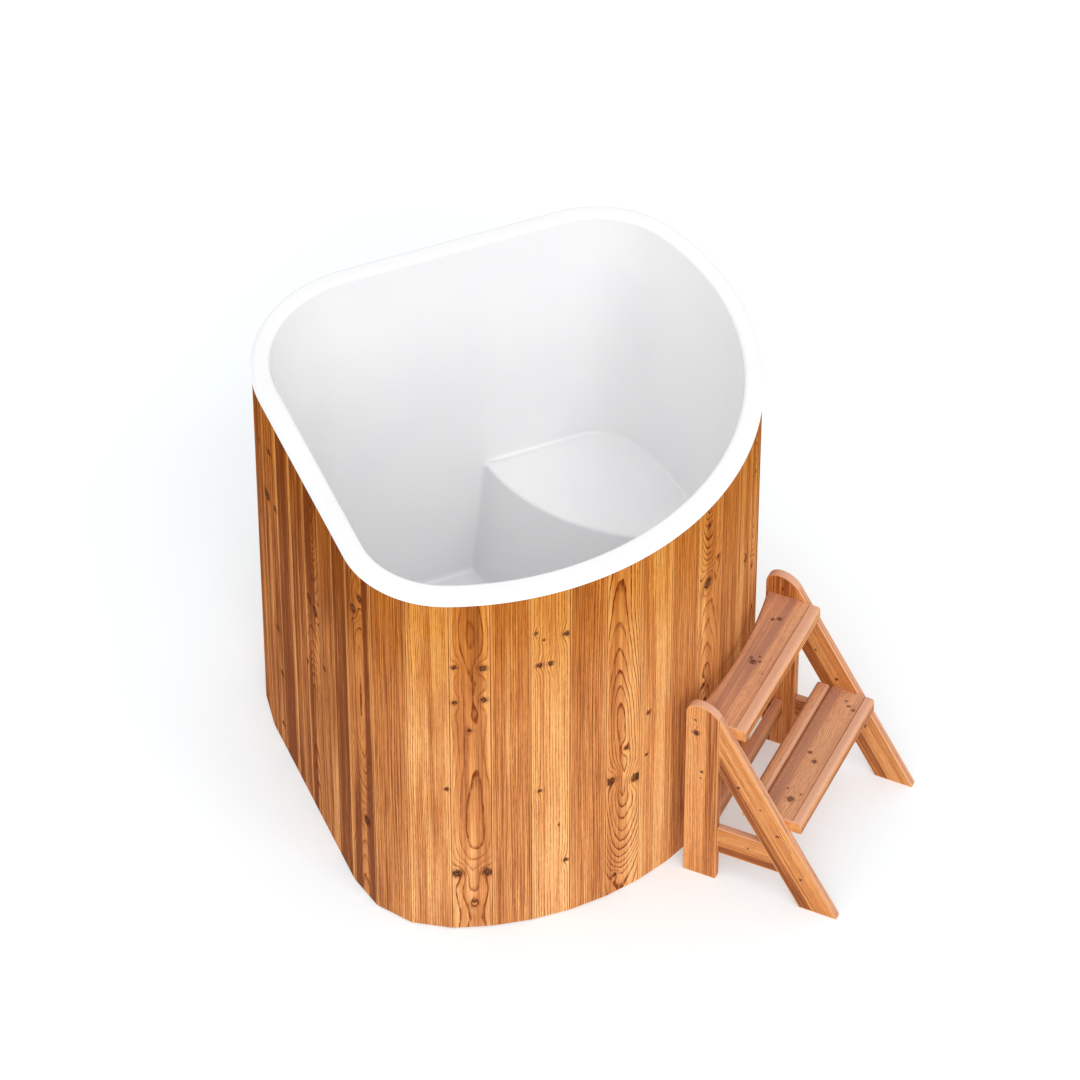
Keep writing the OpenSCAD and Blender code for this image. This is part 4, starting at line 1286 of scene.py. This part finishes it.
def make_lever():
    r = 1.8 * STEM_R
    top = LEVER_TOP + LEVER_NUT_H
    nut = lathe([
        (STEM_R + LOOSE, LEVER_TOP), (r - 0.7, LEVER_TOP, 6), (r, LEVER_TOP + 0.6, 6),
        (r, top - 0.9, 6), (r - 1.2, top, 6), (STEM_R + 0.6, top), (STEM_R + LOOSE, top - 0.5),
    ], AT_VALVE)
    add_piece("hexagon_lever_nut", nut, STEEL, "valve", "lever_nut")
    half = LEVER_W / 2
    neck = half - 2
    grip = 30
    plan = arc(0, 0, LEVER_W * 0.7, 147, 393, 8)
    plan += [(neck + 1.2, 13), (neck, 18), (neck, grip - 5), (half, grip)]
    plan += arc(0, LEVER_L - half, half, 0, 180, 12)
    plan += [(-half, grip), (-neck, grip - 5), (-neck, 18), (-neck - 1.2, 13)]
    bm = prism([(x, y, LEVER_Z) for x, y in plan], [(x, y, LEVER_TOP) for x, y in plan])
    ease(bm, 60, 1.3)
    bmesh.ops.transform(bm, matrix=AT_VALVE, verts=bm.verts)
    lever = joined(as_mesh(bm), stem_hole(LEVER_Z - 2, LEVER_TOP + 2), "DIFFERENCE")
    add_piece("lever_handle", lever, RED_GRIP, "valve", "valve_lever")


def make_grommet():
    r, low = GROMMET_R, -GROMMET_T
    profile = [
        (PIPE_R + 0.3, low), (r + 5.5, low), (r + 7.4, low + 0.6), (r + 8, low + 1.6), (r + 8, 0),
        (r, 0), (r, BOARD_T), (PIPE_R + 0.3, BOARD_T),
    ]
    add_piece("grommet_ring", lathe(profile, along_pipe(0)), RUBBER, "tub", "wall_grommet")


# Finishes of the construction's own pieces


def finish_nodes():
    finishes = {
        CARCASS: "top_hoop middle_hoop lower_hoop seat_posts seat_rail floor_battens",
        RUNNER_WOOD: "base_runners",
        PLYWOOD: "base_panel",
        DOWEL_WOOD: "step_dowels",
        STEEL: "cladding_screws valve_stem",
        CHROME: "valve_ball",
        RUBBER: "waste_gasket",
        PIPE: "waste_nut waste_cup drain_pipe",
        SEAT_RING: "valve_seats",
    }
    for material, names in finishes.items():
        for name in names.split():
            mesh = NODES[name].data
            mesh.materials.clear()
            mesh.materials.append(material)


# Floor and light

FLOOR_REACH = 45.0
BROAD_LIGHT = 40
GLINT_LIGHT = 14
AMBIENT = 0.77


def make_floor():
    mesh = bpy.data.meshes.new("studio_floor")
    corners = [(x * FLOOR_REACH, y * FLOOR_REACH, 0) for x, y in ((-1, -1), (1, -1), (1, 1), (-1, 1))]
    mesh.from_pydata(corners, [], [(0, 1, 2, 3)])
    floor = in_scene("studio_floor", mesh)
    s = Shader("studio_floor")
    cloud = s.noise(s.object_place(), 0.6, 2.0, 0.5)
    s.set(
        Base_Color=s.mix(cloud, (0.69, 0.745, 0.775), (0.67, 0.725, 0.755)),
        Roughness=0.9, Specular_IOR_Level=0.0, Emission_Color=(1, 1, 1), Emission_Strength=0.30,
    )
    mesh.materials.append(s.material)


def sun(name, azimuth, height, strength, spread=BROAD_LIGHT):
    """A soft light from far away; a narrower one draws bright lines along glossy fillets."""
    data = bpy.data.lights.new(name, "SUN")
    data.energy = strength
    data.angle = radians(spread)
    light = in_scene(name, data)
    a = radians(azimuth)
    e = radians(height)
    toward = Vector((cos(e) * cos(a), cos(e) * sin(a), sin(e)))
    light.rotation_euler = toward.to_track_quat("Z", "Y").to_euler()


def make_lights():
    bpy.context.scene.view_settings.view_transform = "Standard"
    world = bpy.data.worlds.new("studio")
    bpy.context.scene.world = world
    world.use_nodes = True
    background = world.node_tree.nodes["Background"]
    background.inputs[0].default_value = (1, 1, 1, 1)
    background.inputs[1].default_value = AMBIENT
    sun("high_front", -57, 50, 0.50)
    sun("low_front", -57, 28, 0.85)
    sun("high_right", -20.6, 50, 0.28, GLINT_LIGHT)
    sun("high_left", 212, 48, 0.20)


make_boards()
make_basin()
make_step()
make_waste()
make_body()
make_tail()
make_lever()
make_grommet()
finish_nodes()
make_floor()
make_lights()
